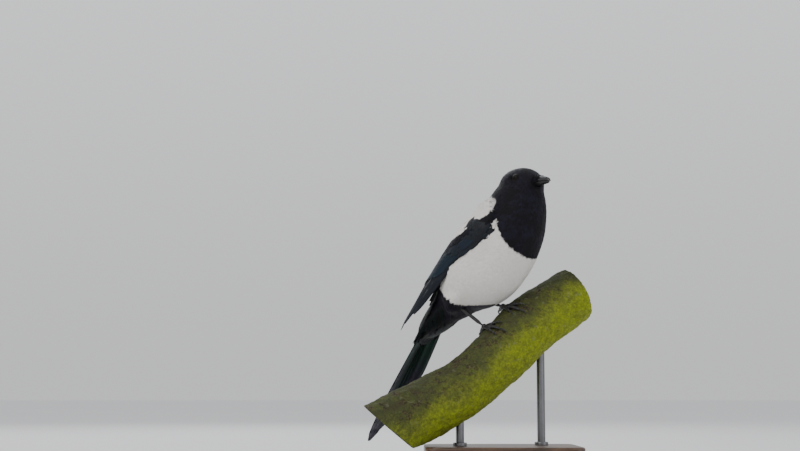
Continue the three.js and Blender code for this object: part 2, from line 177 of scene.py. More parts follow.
def belly_white(points):
    """1 on the white belly and flanks, 0 elsewhere."""
    along, round_ = round_trunk(points)
    under = np.minimum(round_, math.pi / 2)
    bib = 42 + 20 * (1 - np.cos(under)) ** 1.7
    vent = -32 - 24 * np.sin(under) ** 1.3
    flank = np.radians(np.interp(along, [-50, -25, -10, 6, 23, 62], [142, 133, 125, 107, 97, 92]))
    return ((along < bib) & (along > vent) & (round_ < flank)).astype(float)


def scapular_white(points):
    """1 on the white band along each side of the black back, 0 elsewhere."""
    along, round_ = round_trunk(points)
    round_ = np.degrees(round_)
    low = np.interp(along, [-4, 9, 24, 35, 48, 63, 72, 79], [150, 134, 122, 118, 113, 104, 106, 119])
    high = np.interp(along, [-4, 30, 60, 80], [160, 160, 154, 144])
    return ((along < 79) & (along > -4) & (round_ > low) & (round_ < high)).astype(float)


def whiteness(points, winged=False):
    """The bird's markings. On a wing, where winged is true, only the scapulars are white."""
    return np.maximum(np.where(winged, 0.0, belly_white(points)), scapular_white(points))


# Settings


def colour(name, description, value):
    return FloatVectorProperty(
        name=name, description=description, default=value, size=3, min=0, max=1, subtype="COLOR"
    )


def length(name, description, value):
    return FloatProperty(
        name=name, description=description, default=value, min=0, unit="LENGTH", subtype="DISTANCE"
    )


class MagpieCoat(bpy.types.PropertyGroup):
    depth: length("Depth", "How far the feathers' tips stand off the skin of the trunk", 0.0026)
    vane_length: length("Feather length", "Length of a feather of the breast or belly", 0.0155)
    spacing: length("Spacing", "Distance between the roots of the breast's feathers", 0.0022)
    seed: IntProperty(name="Seed", description="Start of the feathers' random placing", default=11, min=0)
    black: colour("Black", "Head, breast, back and thighs", (0.0036, 0.0033, 0.0052))
    gloss: colour("Gloss", "What the black turns to in the light", (0.0085, 0.0065, 0.020))
    white: colour("White", "Belly and flanks", (0.79, 0.765, 0.735))
    # Shaded white: painted shade at the feathers' roots, where the feathers overlap, and also random
    # darkening: each feather's tone and the mottling of the flight feathers' white hems
    shade: colour("Shaded white", "Cream at the feathers' roots and under the belly", (0.62, 0.565, 0.50))


class MagpieWings(bpy.types.PropertyGroup):
    blue: colour("Blue", "Gloss of the folded wing", (0.0055, 0.018, 0.042))
    teal: colour("Teal", "Gloss of the secondaries", (0.0045, 0.025, 0.032))
    black: colour("Black", "Vanes out of the light", (0.0035, 0.0040, 0.0060))


class MagpieTail(bpy.types.PropertyGroup):
    green: colour("Green", "Gloss of the tail", (0.010, 0.050, 0.034))
    purple: colour("Purple", "Band before the tips", (0.036, 0.012, 0.052))


class MagpieHead(bpy.types.PropertyGroup):
    horn: colour("Horn", "Bill", (0.011, 0.011, 0.012))
    iris: colour("Iris", "Ring round the pupil", (0.007, 0.004, 0.003))


class MagpieFeet(bpy.types.PropertyGroup):
    scale: colour("Scales", "Legs and toes", (0.014, 0.0135, 0.0135))
    voxel: length("Fineness", "Grid that the legs are rebuilt on", 0.00055)


class MagpiePerch(bpy.types.PropertyGroup):
    # Bright and dull algae: where each lies is partly painted light and shade, bright on the front and
    # underside, dull on the top
    bright: colour("Bright algae", "Front and underside", (0.275, 0.320, 0.012))
    dull: colour("Dull algae", "Top", (0.076, 0.084, 0.022))
    bark: colour("Bark", "Where the algae are thin", (0.085, 0.058, 0.032))
    relief: length("Relief", "How far the bark's grain stands out", 0.0007)


class MagpieStand(bpy.types.PropertyGroup):
    wood: colour("Wood", "Late wood of the base", (0.040, 0.018, 0.009))
    light_wood: colour("Light wood", "Early wood of the base", (0.120, 0.060, 0.030))
    steel: colour("Steel", "Rods", (0.20, 0.20, 0.21))


class MagpieStage(bpy.types.PropertyGroup):
    floor: colour("Floor", "Plain floor", (0.86, 0.86, 0.86))
    lens: FloatProperty(name="Lens", description="Focal length", default=63.0, min=1, unit="CAMERA")
    pitch: FloatProperty(
        name="Pitch", description="How far the camera looks up", default=math.radians(7), subtype="ANGLE"
    )
    height: length("Camera height", "Height of the camera over the floor", 0.08673)
    key: FloatProperty(name="Key light", description="Power of the main soft light", default=26, unit="POWER")


SETTINGS = {
    "magpie_coat": MagpieCoat,
    "magpie_wings": MagpieWings,
    "magpie_tail": MagpieTail,
    "magpie_head": MagpieHead,
    "magpie_feet": MagpieFeet,
    "magpie_perch": MagpiePerch,
    "magpie_stand": MagpieStand,
    "magpie_stage": MagpieStage,
}


# Modelling helpers


def clear_selection():
    """Object mode, with nothing selected."""
    if bpy.context.object and bpy.context.object.mode != "OBJECT":
        bpy.ops.object.mode_set(mode="OBJECT")
    bpy.ops.object.select_all(action="DESELECT")


def alone(piece):
    """Makes a piece the only selected object, and active."""
    clear_selection()
    piece.select_set(True)
    bpy.context.view_layer.objects.active = piece
    return piece


def added(name):
    """The primitive just added, named, with its place moved into its mesh."""
    piece = bpy.context.object
    piece.name = piece.data.name = name
    bpy.ops.object.transform_apply(location=True, rotation=True, scale=True)
    return piece


@contextmanager
def editing(piece):
    """Edit mode on one piece."""
    alone(piece)
    bpy.ops.object.mode_set(mode="EDIT")
    yield
    bpy.ops.object.mode_set(mode="OBJECT")


def select_where(piece, test, kind="VERT"):
    """In edit mode, selects the vertices, edges or faces that pass the test."""
    bpy.ops.mesh.select_mode(type=kind)
    mesh = bmesh.from_edit_mesh(piece.data)
    for item in (*mesh.faces, *mesh.edges, *mesh.verts):
        item.select_set(False)
    for item in {"VERT": mesh.verts, "EDGE": mesh.edges, "FACE": mesh.faces}[kind]:
        if test(item):
            item.select_set(True)
    mesh.select_flush_mode()
    bmesh.update_edit_mesh(piece.data)


def node_copy(name, *nodes, swell=0.0):
    """Merged copies of CAD nodes, as one new object."""
    copies = []
    for node in nodes:
        copy = bpy.data.objects.new(name, NODES[node].data.copy())
        copy.data.materials.clear()
        bpy.context.scene.collection.objects.link(copy)
        with editing(copy):
            bpy.ops.mesh.select_all(action="SELECT")
            bpy.ops.mesh.remove_doubles(threshold=1e-5)
            if swell:
                bpy.ops.transform.shrink_fatten(value=swell)
        copies.append(copy)
    return joined(name, copies)


def joined(name, objects):
    """Joins objects into one."""
    clear_selection()
    for item in objects:
        item.select_set(True)
    bpy.context.view_layer.objects.active = objects[0]
    if len(objects) > 1:
        bpy.ops.object.join()
    piece = bpy.context.object
    piece.name = piece.data.name = name
    return piece


def modified(piece, kind, **values):
    """Applies one modifier."""
    alone(piece)
    modifier = piece.modifiers.new(kind.title(), kind)
    for key, value in values.items():
        setattr(modifier, key, value)
    bpy.ops.object.modifier_apply(modifier=modifier.name)
    return piece


def remeshed(piece, voxel, rounds):
    """Rebuilds a mesh on a grid, and smooths it."""
    modified(piece, "REMESH", mode="VOXEL", voxel_size=voxel)
    return modified(piece, "SMOOTH", factor=0.5, iterations=rounds)


def smooth_shaded(piece, angle=None):
    """Smooth shading, all over or where faces meet at less than the angle."""
    alone(piece)
    if angle is None:
        bpy.ops.object.shade_smooth()
    else:
        bpy.ops.object.shade_smooth_by_angle(angle=angle)
    return piece


def vectors(items, key):
    """One row of three numbers for each item."""
    out = np.empty(len(items) * 3, np.float32)
    items.foreach_get(key, out)
    return out.reshape(-1, 3).astype(float)


def places(piece):
    return vectors(piece.data.vertices, "co")


def normals(piece):
    return vectors(piece.data.vertex_normals, "vector")


def set_places(piece, co):
    """Moves a mesh's vertices."""
    piece.data.vertices.foreach_set("co", np.asarray(co, np.float32).ravel())
    piece.data.update()


def mark(piece, name, values):
    """Writes one number per vertex, or the same for all, as an attribute."""
    values = np.broadcast_to(values, len(piece.data.vertices)).astype(np.float32)
    piece.data.attributes.new(name, "FLOAT", "POINT").data.foreach_set("value", values)


def settle(piece, slot, *replaced):
    """Puts a finished piece on the one body and hides the parts it replaces."""
    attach(piece, "root")
    if replaced:
        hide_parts(*replaced)
    return piece


def finished(piece, material, slot, *replaced, angle=None):
    """Gives a piece its material and smooth shading, and settles it."""
    piece.data.materials.append(material)
    smooth_shaded(piece, angle)
    return settle(piece, slot, *replaced)


def node_tree(name):
    """A CAD node, for nearest places and rays."""
    mesh = NODES[name].data
    return BVHTree.FromPolygons([v.co for v in mesh.vertices], [list(p.vertices) for p in mesh.polygons])


class Surface:
    """A mesh to lay feathers on: the nearest place, with its smoothed normal."""

    def __init__(self, piece):
        co = places(piece)
        faces = [list(p.vertices) for p in piece.data.polygons]
        self.tree = BVHTree.FromPolygons([Vector(c) for c in co], faces)
        vertex_normals = normals(piece)
        self.normals = unit(np.array([vertex_normals[f].mean(0) for f in faces]))

    def nearest(self, points):
        """The nearest place on the mesh to each point, and the normal there."""
        flat = points.reshape(-1, 3)
        found = [self.tree.find_nearest(p) for p in flat.tolist()]
        spot = np.array([f[0] for f in found]).reshape(points.shape)
        normal = self.normals[[f[2] for f in found]].reshape(points.shape)
        return spot, normal


# Feather shapes, each modelled once

TIP_ROUNDING = 0.10  # how far back the corners of a feather's tip lie, as a share of its length
BAKE_PATCH = (0.003, 0.003)  # size of one small feather on the OFBake map


def vane(outline, columns, rows, camber, fray=(), thick=0.0, lopsided=0.0):
    """One feather: u across (-0.5 to 0.5), v from root to tip (0 to 1), h off the surface. Closed.
    fray moves each column of the tip in or out."""
    clear_selection()
    bpy.ops.mesh.primitive_grid_add(x_subdivisions=columns, y_subdivisions=rows, size=1, location=(0, 0.5, 0))
    piece = added("feather_shape")
    levels = sorted({round(v.co.y, 4) for v in piece.data.vertices})
    with editing(piece):
        for level in levels:
            select_where(piece, lambda vert: abs(vert.co.y - level) < 1e-3)
            width = float(row(outline, level)[0])
            bpy.ops.transform.resize(value=(width, 1, 1), center_override=(lopsided, level, 0))
        whole = np.array([tuple(v.co) for v in bmesh.from_edit_mesh(piece.data).verts])
        tips = sorted(round(x, 4) for x, y, _ in whole.tolist() if y > 0.999)
        for k, (x, off) in enumerate(zip(tips, fray)):
            round_off = -TIP_ROUNDING * (2 * k / columns - 1) ** 2
            select_where(piece, lambda vert: vert.co.y > 0.85 and abs(vert.co.x - x) < 1e-3)
            bpy.ops.transform.translate(value=(0, round_off + off, 0))
    if thick:
        modified(piece, "SOLIDIFY", thickness=thick, offset=-1)
    with editing(piece):
        if not thick:
            bpy.ops.mesh.select_mode(type="FACE")
            bpy.ops.mesh.select_all(action="SELECT")
            bpy.ops.mesh.region_to_loop()
            bpy.ops.mesh.edge_face_add()
        bpy.ops.mesh.select_mode(type="VERT")
        bpy.ops.mesh.select_all(action="SELECT")
        bpy.ops.mesh.normals_make_consistent(inside=False)
    co = places(piece)
    base = co if thick else whole
    spread = row(outline, base[:, 1])[0]
    off = (base[:, 0] - lopsided * (1 - spread)) / np.maximum(spread, 0.05)
    co[:, 2] += camber * np.maximum(0, 1 - (2 * off) ** 2)
    polygons = [list(p.vertices) for p in piece.data.polygons]
    below = [len(p.vertices) > 4 or p.normal.z < -0.5 for p in piece.data.polygons]
    shape = {
        "co": co,
        "facing": np.array([-1.0 if b else 1.0 for p, b in zip(polygons, below) for _ in p]),
        "corners": np.array([i for p in polygons for i in p]),
        "backward": np.array([i for p in polygons for i in p[::-1]]),
        "thirds": np.array([(p[0], p[k], p[k + 1]) for p in polygons for k in range(1, len(p) - 1)]),
        "sizes": np.array([len(p) for p in polygons]),
    }
    bpy.data.objects.remove(piece)
    return shape


def mirrored(shape, laid):
    """True for the laid copies of a solid shape that came out inside out."""
    off = laid - laid.mean(1, keepdims=True)
    a, b, c = (off[:, shape["thirds"][:, k]] for k in range(3))
    return (a * np.cross(b, c)).sum((1, 2)) < 0


def feathers(
    name, shape, laid, marks, bake, material, patch=BAKE_PATCH, lit=None, soft=0.7, turned_over=False
):
    """Joins laid copies of a feather shape (count, vertices, 3) into one piece.
    marks are attributes: one number, one for each copy, or one for each vertex. bake is each copy's
    place on the OFBake map, patch its size there. lit holds the normals of the body under them, which
    they are shaded by as far as soft says."""
    count, points = laid.shape[:2]
    mesh = bpy.data.meshes.new(name)
    sizes = shape["sizes"]
    turned_over = np.broadcast_to(turned_over, count)
    corners = np.where(turned_over[:, None], shape["backward"], shape["corners"])
    mesh.vertices.add(count * points)
    mesh.vertices.foreach_set("co", laid.astype(np.float32).ravel())
    every = (corners + (np.arange(count) * points)[:, None]).ravel()
    mesh.loops.add(len(every))
    mesh.loops.foreach_set("vertex_index", every.astype(np.int32))
    starts = np.concatenate([[0], np.cumsum(np.tile(sizes, count))[:-1]])
    mesh.polygons.add(len(starts))
    mesh.polygons.foreach_set("loop_start", starts.astype(np.int32))
    mesh.polygons.foreach_set("use_smooth", np.ones(len(starts), bool))
    mesh.update(calc_edges=True)
    flat = shape["co"][:, :2] + [0.5, 0.0]
    baked = bake[:, None, :] + (flat[corners] - 0.5) * patch
    for key, spots in (("Vane", flat[corners]), ("OFBake", baked)):
        mesh.uv_layers.new(name=key).data.foreach_set("uv", spots.astype(np.float32).ravel())
    piece = bpy.data.objects.new(name, mesh)
    bpy.context.scene.collection.objects.link(piece)
    for key, values in marks.items():
        values = np.asarray(values, float)
        values = values if values.ndim == 2 else values[..., None]
        mark(piece, key, np.broadcast_to(values, (count, points)).ravel())
    mesh.materials.append(material)
    if lit is not None:
        own = normals(piece)
        blended = unit(soft * lit.reshape(-1, 3) + (1 - soft) * own)[every]
        mesh.normals_split_custom_set(blended * np.tile(shape["facing"], count)[:, None])
    return piece


# Materials


class Nodes:
    """Adds nodes to a tree, linking a socket where it is given one and setting a value otherwise."""

    def __init__(self, tree):
        self.tree = tree

    def add(self, kind, *inputs, out=0, named=None, **settings):
        made = self.tree.nodes.new("ShaderNode" + kind)
        for key, value in settings.items():
            setattr(made, key, value)
        for k, value in enumerate(inputs):
            self.put(made.inputs[k], value)
        for key, value in (named or {}).items():
            self.put(made.inputs[key], value)
        return made if out is None else made.outputs[out]

    def put(self, socket, value):
        if value is None:
            return
        if isinstance(value, bpy.types.NodeSocket):
            self.tree.links.new(value, socket)
        elif socket.type == "RGBA" and len(value) == 3:
            socket.default_value = (*value, 1)
        else:
            socket.default_value = value

    def maths(self, operation, *values):
        return self.add("Math", *values, operation=operation)

    def times(self, a, b):
        return self.maths("MULTIPLY", a, b)

    def plus(self, a, b):
        return self.maths("ADD", a, b)

    def minus(self, a, b):
        return self.maths("SUBTRACT", a, b)

    def from_middle(self, value):
        """How far a value between 0 and 1 is from 0.5."""
        return self.maths("ABSOLUTE", self.minus(value, 0.5))

    def split(self, vector):
        return self.add("SeparateXYZ", vector, out=None).outputs

    def mix(self, share, a, b):
        return self.add("Mix", named={0: share, 6: a, 7: b}, data_type="RGBA", out=2)

    def blend(self, share, a, b):
        return self.add("Mix", named={0: share, 2: a, 3: b}, data_type="FLOAT", out=0)

    def band(self, value, low, high, start=0.0, end=1.0):
        return self.add("MapRange", value, low, high, start, end, interpolation_type="SMOOTHSTEP")

    def noise(self, vector, scale, detail=4.0, rough=0.5, distortion=0.0):
        inputs = {"Scale": scale, "Detail": detail, "Roughness": rough, "Distortion": distortion}
        return self.add("TexNoise", named={"Vector": vector, **inputs})

    def attribute(self, name):
        return self.add("Attribute", attribute_name=name, out="Fac")

    def place(self):
        return self.add("TexCoord", out="Object")

    def moved(self, vector, location=(0, 0, 0), rotation=(0, 0, 0), scale=(1, 1, 1)):
        return self.add("Mapping", vector, location, rotation, scale)

    def group(self, name, out, **inputs):
        made = self.tree.nodes.new("ShaderNodeGroup")
        made.node_tree = GROUPS[name]
        for key, value in inputs.items():
            self.put(made.inputs[key], value)
        return made.outputs[out]

    def mottle(self, vector, scale, low, high):
        return self.group("Mottle", "Share", Vector=vector, Scale=scale, Low=low, High=high)


GROUPS = {}


def new_group(name, inputs, outputs):
    """A node group with named sockets: (name, kind, default) in, (name, kind) out."""
    tree = bpy.data.node_groups.new(name, "ShaderNodeTree")
    for label, kind, default in inputs:
        socket = tree.interface.new_socket(name=label, in_out="INPUT", socket_type="NodeSocket" + kind)
        if default is not None:
            socket.default_value = default
    for label, kind in outputs:
        tree.interface.new_socket(name=label, in_out="OUTPUT", socket_type="NodeSocket" + kind)
    nodes = Nodes(tree)
    source = tree.nodes.new("NodeGroupInput").outputs
    drain = tree.nodes.new("NodeGroupOutput").inputs
    GROUPS[name] = tree
    return nodes, source, drain


def make_groups():
    """The effects that more than one material uses."""
    n, source, drain = new_group(
        "Barbs",
        [("Vane", "Vector", None), ("Count", "Float", 60.0), ("Slant", "Float", 0.35)],
        [("Height", "Float"), ("Shaft", "Float")],
    )
    split = n.split(source["Vane"])
    off = n.from_middle(split["X"])
    ragged = n.times(n.noise(source["Vane"], 9.0, 2.0), 0.03)
    run = n.plus(n.minus(split["Y"], n.times(off, source["Slant"])), ragged)
    wave = n.maths("SINE", n.times(run, n.times(source["Count"], round(2 * math.pi, 4))))
    shaft = n.band(off, 0.012, 0.035, 1.0, 0.0)
    n.put(drain["Height"], n.plus(n.times(wave, 0.5), n.times(shaft, 1.5)))
    n.put(drain["Shaft"], shaft)

    n, source, drain = new_group(
        "Mottle",
        [
            ("Vector", "Vector", None), ("Scale", "Float", 100.0),
            ("Low", "Float", 0.4), ("High", "Float", 0.6),
        ],
        [("Share", "Float")],
    )
    noise = n.noise(source["Vector"], source["Scale"], 5.0, 0.55)
    n.put(drain["Share"], n.band(noise, source["Low"], source["High"]))


def new_material(name):
    """A material with its nodes and its Principled shader."""
    material = bpy.data.materials.new(name)
    material.use_nodes = True
    nodes = Nodes(material.node_tree)
    shader = material.node_tree.nodes["Principled BSDF"]
    return material, nodes, shader


def finish(n, shader, **inputs):
    """Links or sets the shader's sockets, named with _ for each space."""
    for key, value in inputs.items():
        n.put(shader.inputs[key.replace("_", " ")], value)


def bump(n, height, strength, distance):
    return n.add("Bump", named={"Strength": strength, "Distance": distance, "Height": height})


def plumage_material(name, lay, barbs=26.0, depth=0.00012):
    """Black and white feathers. white is the markings, tone each feather's own shade, under the painted shade
    at its root, where the feathers overlap.
    """
    coat = bpy.context.scene.magpie_coat
    material, n, shader = new_material(name)
    place, tone, white = n.place(), n.attribute("tone"), n.attribute("white")
    mottled = n.mottle(place, 60.0, 0.35, 0.7)
    gloss = n.times(tone, mottled)
    black = n.mix(gloss, coat.black, coat.gloss)
    # Painted shade: the white darkens towards each feather's root, where the feather above covers it, with a
    # little mottling
    soft = n.times(n.plus(n.attribute("under"), n.times(mottled, 0.35)), 0.62)
    pale = n.mix(soft, coat.white, coat.shade)
    pale = n.mix(n.times(tone, 0.22), pale, coat.shade)
    if lay:
        barb = n.group("Barbs", "Height", Vane=n.add("UVMap", uv_map="Vane"), Count=barbs, Slant=0.45)
        pale = n.mix(n.times(n.band(barb, -0.2, 0.5), 0.12), pale, coat.shade)
        relief = bump(n, barb, 0.35, depth)
    else:
        relief = bump(n, n.noise(place, 900.0), 0.4, 0.0002)
    finish(
        n, shader, Normal=relief,
        Base_Color=n.mix(white, black, pale),
        Roughness=n.blend(white, n.blend(gloss, 0.62, 0.46), 0.85),
        Specular_IOR_Level=0.16, Sheen_Weight=0.018, Sheen_Roughness=0.5, Sheen_Tint=(0.7, 0.66, 0.9),
    )
    return material


def flight_material(name, near, far, barbs=34.0):
    """Glossy flight feathers. sheen is how much colour shows, drift goes from near to far, hem is an edge."""
    wings, coat = bpy.context.scene.magpie_wings, bpy.context.scene.magpie_coat
    material, n, shader = new_material(name)
    vane_map = n.add("UVMap", uv_map="Vane")
    split = n.split(vane_map)
    mottled = n.mottle(n.place(), 45.0, 0.3, 0.75)
    hue = n.mix(n.times(n.attribute("drift"), n.blend(mottled, 0.8, 1.0)), near, far)
    sheen = n.times(n.attribute("sheen"), n.blend(mottled, 0.65, 1.0))
    edge = n.band(n.from_middle(split["X"]), 0.30, 0.5)
    sheen = n.times(sheen, n.blend(edge, 1.0, 0.45))
    shaft, barb = (
        n.group("Barbs", out, Vane=vane_map, Count=barbs, Slant=0.5) for out in ("Shaft", "Height")
    )
    dark = n.mix(sheen, wings.black, hue)
    dark = n.mix(n.times(shaft, 0.7), dark, (0.012, 0.012, 0.014))
    white = n.mix(n.times(mottled, 0.4), coat.white, coat.shade)
    hem = n.times(n.attribute("hem"), n.band(split["X"], 0.93, 0.97))
    shown = n.maths("MAXIMUM", n.attribute("white"), hem)
    finish(
        n, shader, Normal=bump(n, barb, 0.18, 0.00010),
        Base_Color=n.mix(shown, dark, white),
        Metallic=n.blend(shown, n.times(sheen, 0.4), 0.0),
        Roughness=n.blend(shown, n.blend(sheen, 0.5, 0.33), 0.8),
        Specular_IOR_Level=0.3,
    )
    return material


def horn_material(name, tint, rough, streak):
    """Bill and claws: dark horn, worn paler in spots."""
    material, n, shader = new_material(name)
    place = n.place()
    worn = n.mottle(place, 220.0, 0.42, 0.75)
    finish(
        n, shader, Normal=bump(n, n.noise(place, streak, 5.0), 0.25, 0.00015),
        Base_Color=n.mix(n.times(worn, 0.5), tint, (0.040, 0.038, 0.036)),
        Roughness=n.blend(worn, rough, rough + 0.2),
    )
    return material


def eye_material(name, centre, axis):
    """Dark iris round a black pupil, under a clear wet coat. The pattern is centred on the eye."""
    material, n, shader = new_material(name)
    place = n.moved(n.place(), location=tuple(-c for c in centre))
    outward = n.add("VectorMath", place, operation="NORMALIZE")
    facing = n.add("VectorMath", outward, tuple(axis), operation="DOT_PRODUCT", out=1)
    pupil = n.band(facing, 0.915, 0.93)
    rim = n.band(facing, 0.76, 0.80, 1.0, 0.0)
    iris = n.mix(n.noise(place, 2600.0, 3.0), bpy.context.scene.magpie_head.iris, (0.016, 0.008, 0.005))
    shade = n.mix(pupil, iris, (0.002, 0.002, 0.002))
    finish(
        n, shader, Base_Color=n.mix(rim, shade, (0.006, 0.005, 0.005)),
        Roughness=n.blend(pupil, 0.55, 0.45), Specular_IOR_Level=0.08,
        Coat_Weight=0.16, Coat_Roughness=0.03, Coat_IOR=1.36,
    )
    return material


def lid_material(name):
    """Fine dark skin round the eye."""
    material, n, shader = new_material(name)
    place = n.place()
    worn = n.mottle(place, 900.0, 0.4, 0.7)
    finish(
        n, shader, Normal=bump(n, n.noise(place, 2400.0), 0.4, 0.0001),
        Base_Color=n.mix(worn, (0.0035, 0.0032, 0.0035), (0.008, 0.0075, 0.0075)),
        Roughness=0.7, Specular_IOR_Level=0.2,
    )
    return material


def scale_material(name):
    """Scutes across the legs and toes: reach is the distance from the middle of the foot."""
    scute = 0.0031
    material, n, shader = new_material(name)
    place, reach = n.place(), n.attribute("reach")
    wobble = n.times(n.noise(place, 260.0, 2.0), 0.5)
    ring = n.maths("FRACT", n.plus(n.times(reach, 1 / scute), wobble))
    groove = n.band(n.from_middle(ring), 0.36, 0.5)
    worn = n.mottle(place, 300.0, 0.45, 0.75)
    shade = n.mix(n.times(worn, 0.6), bpy.context.scene.magpie_feet.scale, (0.042, 0.040, 0.038))
    height = n.plus(n.times(groove, -1.0), n.times(n.noise(place, 1500.0, 3.0), 0.3))
    finish(
        n, shader, Normal=bump(n, height, 0.7, 0.0003),
        Base_Color=n.mix(n.times(groove, 0.7), shade, (0.008, 0.007, 0.007)),
        Roughness=n.blend(groove, 0.42, 0.7),
    )
    return material


def algae_colour(n, place, over, bright):
    """Dull algae on the top of the branch, bright ones on its front and underside, with the bark between.
    bright carries the algae's own spread together with painted light and shade.
    """
    perch = bpy.context.scene.magpie_perch
    fine, blotch = n.mottle(place, 420.0, 0.36, 0.62), n.mottle(place, 170.0, 0.44, 0.66)
    patch, pale = n.mottle(place, 95.0, 0.46, 0.64), n.mottle(n.moved(place, (3, 1, 2)), 140.0, 0.60, 0.70)
    crust = n.mottle(n.moved(place, (5, 2, 4)), 46.0, 0.50, 0.62)
    skin = n.mix(bright, perch.dull, perch.bright)
    specks = n.mix(bright, (0.035, 0.042, 0.018), (0.095, 0.130, 0.012))
    skin = n.mix(n.times(fine, 0.5), skin, specks)
    blotches = n.mix(bright, (0.034, 0.037, 0.020), (0.105, 0.125, 0.010))
    skin = n.mix(n.times(blotch, 0.5), skin, blotches)
    thin = n.times(patch, n.band(bright, 0.0, 0.8, 0.80, 0.18))
    skin = n.mix(thin, skin, n.mix(fine, perch.bark, (0.020, 0.017, 0.012)))
    dark = n.times(crust, n.band(over, 0.1, 0.8, 0.0, 0.7))
    skin = n.mix(dark, skin, n.mix(fine, (0.028, 0.031, 0.014), (0.062, 0.068, 0.026)))
    return n.mix(n.times(pale, 0.22), skin, (0.22, 0.24, 0.16)), fine, patch, crust


def sawn_colour(n, place, ring):
    """Growth rings of a cut end inside its rim of bark."""
    run = n.plus(n.times(ring, 420.0), n.times(n.noise(place, 30.0), 3.0))
    rings = n.maths("POWER", n.maths("FRACT", run), 2.0)
    wood = n.mix(n.times(rings, 0.6), (0.40, 0.27, 0.15), (0.20, 0.115, 0.055))
    streaks = n.noise(n.moved(place, scale=(1, 1, 9)), 90.0)
    wood = n.mix(n.times(streaks, 0.35), wood, (0.13, 0.085, 0.05))
    return n.mix(n.band(ring, 0.0315, 0.0335), wood, (0.035, 0.025, 0.016)), rings


def bark_material(name):
    """Algae over bark. over is 1 on the branch's top and -1 under it, front its near side, sawn a cut end."""
    material, n, shader = new_material(name)
    place = n.place()
    over, front, sawn = n.attribute("over"), n.attribute("front"), n.attribute("sawn")
    # Painted light and shade along with the algae's own spread: brighter on the front and underside, darker
    # on the top and towards the left end, in large random patches
    lit = n.minus(n.times(front, 0.25), n.times(over, 1.2))
    lit = n.plus(lit, n.times(n.split(place)["X"], 2.4))
    lit = n.plus(lit, n.times(n.minus(n.noise(place, 24.0, 5.0, 0.62), 0.5), 2.6))
    skin, fine, patch, crust = algae_colour(n, place, over, n.band(lit, -0.60, 1.0))
    cut, rings = sawn_colour(n, place, n.attribute("ring"))
    rough = n.plus(n.noise(place, 460.0, 6.0, 0.7), n.times(patch, -0.6))
    rough = n.plus(rough, n.times(crust, 0.5))
    finish(
        n, shader, Normal=bump(n, n.blend(sawn, rough, n.times(rings, 0.3)), 1.0, 0.0013),
        Base_Color=n.mix(sawn, skin, cut),
        Roughness=n.blend(sawn, n.blend(fine, 0.78, 0.92), 0.7),
        Specular_IOR_Level=0.25,
    )
    return material


def wood_material(name):
    """Oiled hardwood: grain runs along X."""
    stand = bpy.context.scene.magpie_stand
    material, n, shader = new_material(name)
    place = n.place()
    drawn = n.moved(place, location=(0.3, 0.11, 0.2), scale=(0.7, 9, 9))
    rings = n.maths("FRACT", n.times(n.noise(drawn, 9.0, 3.0, 0.5, 0.6), 7.0))
    grain = n.band(n.from_middle(rings), 0.02, 0.5)
    pores = n.band(n.noise(n.moved(place, scale=(1, 22, 22)), 160.0, 2.0), 0.60, 0.72)
    shade = n.mix(grain, stand.light_wood, stand.wood)
    shade = n.mix(n.times(n.mottle(place, 16.0, 0.3, 0.8), 0.35), shade, stand.wood)
    height = n.plus(n.times(pores, -1.0), n.times(grain, 0.2))
    finish(
        n, shader, Normal=bump(n, height, 0.35, 0.0002),
        Base_Color=n.mix(n.times(pores, 0.8), shade, (0.012, 0.006, 0.004)),
        Roughness=n.blend(grain, 0.42, 0.33), Coat_Weight=0.25, Coat_Roughness=0.3,
    )
    return material


def steel_material(name):
    """Steel with fine marks along the rods."""
    material, n, shader = new_material(name)
    place = n.place()
    brushed = n.noise(n.moved(place, scale=(1, 1, 0.02)), 2200.0, 3.0)
    marks = n.times(n.mottle(place, 90.0, 0.45, 0.8), 0.35)
    finish(
        n, shader, Normal=bump(n, brushed, 0.1, 0.00005),
        Base_Color=n.mix(marks, bpy.context.scene.magpie_stand.steel, (0.10, 0.10, 0.105)),
        Roughness=n.blend(brushed, 0.28, 0.44), Metallic=1.0,
    )
    return material


def floor_material(name):
    """Plain pale floor, hardly mottled."""
    floor = bpy.context.scene.magpie_stage.floor
    material, n, shader = new_material(name)
    worn = n.mottle(n.place(), 1.2, 0.2, 0.9)
    finish(n, shader, Base_Color=n.mix(worn, floor, tuple(0.97 * c for c in floor)), Roughness=0.85)
    return material


# The skin

# in the head's frame: where the feathers part round the bill
FACE = np.array([27.0, 0.0, 0.5])
SHANK_REACH = 14


def head_share(points):
    """1 on the head, 0 on the trunk."""
    return ease(points[..., 2] - 0.25 * points[..., 0], 118, 150)


def on_shanks(points, loss):
    """1 on the body, less by up to the given loss down the lower legs."""
    share = np.ones(points.shape[:-1])
    for foot in FEET.values():
        ankle, stands = np.array(foot["ankle"]), np.array(foot["stands"])
        shank = unit(stands - ankle)
        down = (points - ankle) @ shank
        near = np.linalg.norm(points - ankle - down[..., None] * shank, axis=-1) < SHANK_REACH
        share = np.where(near & (down > -8), share * (1 - loss * ease(down, -8, 12)), share)
    return share


def coat_depth(points):
    """How deep the coat is over the skin, in millimetres, at places in the bird's frame."""
    from_bill = np.linalg.norm(to_head(points) - FACE, axis=-1)
    depth = bpy.context.scene.magpie_coat.depth / MM * (1 - 0.28 * head_share(points))
    return depth * (0.30 + 0.70 * ease(from_bill, 4, 30)) * on_shanks(points, 0.72)


def fill_creases(piece, rounds):
    """Smooths a mesh outwards: creases fill up, crests are hardly worn down."""
    for _ in range(rounds):
        before = places(piece)
        modified(piece, "SMOOTH", factor=0.5, iterations=7)
        step = places(piece) - before
        outward = (step * normals(piece)).sum(-1)
        set_places(piece, before + step * np.where(outward > 0, 1.0, 0.10)[:, None])
    modified(piece, "SMOOTH", factor=0.5, iterations=4)


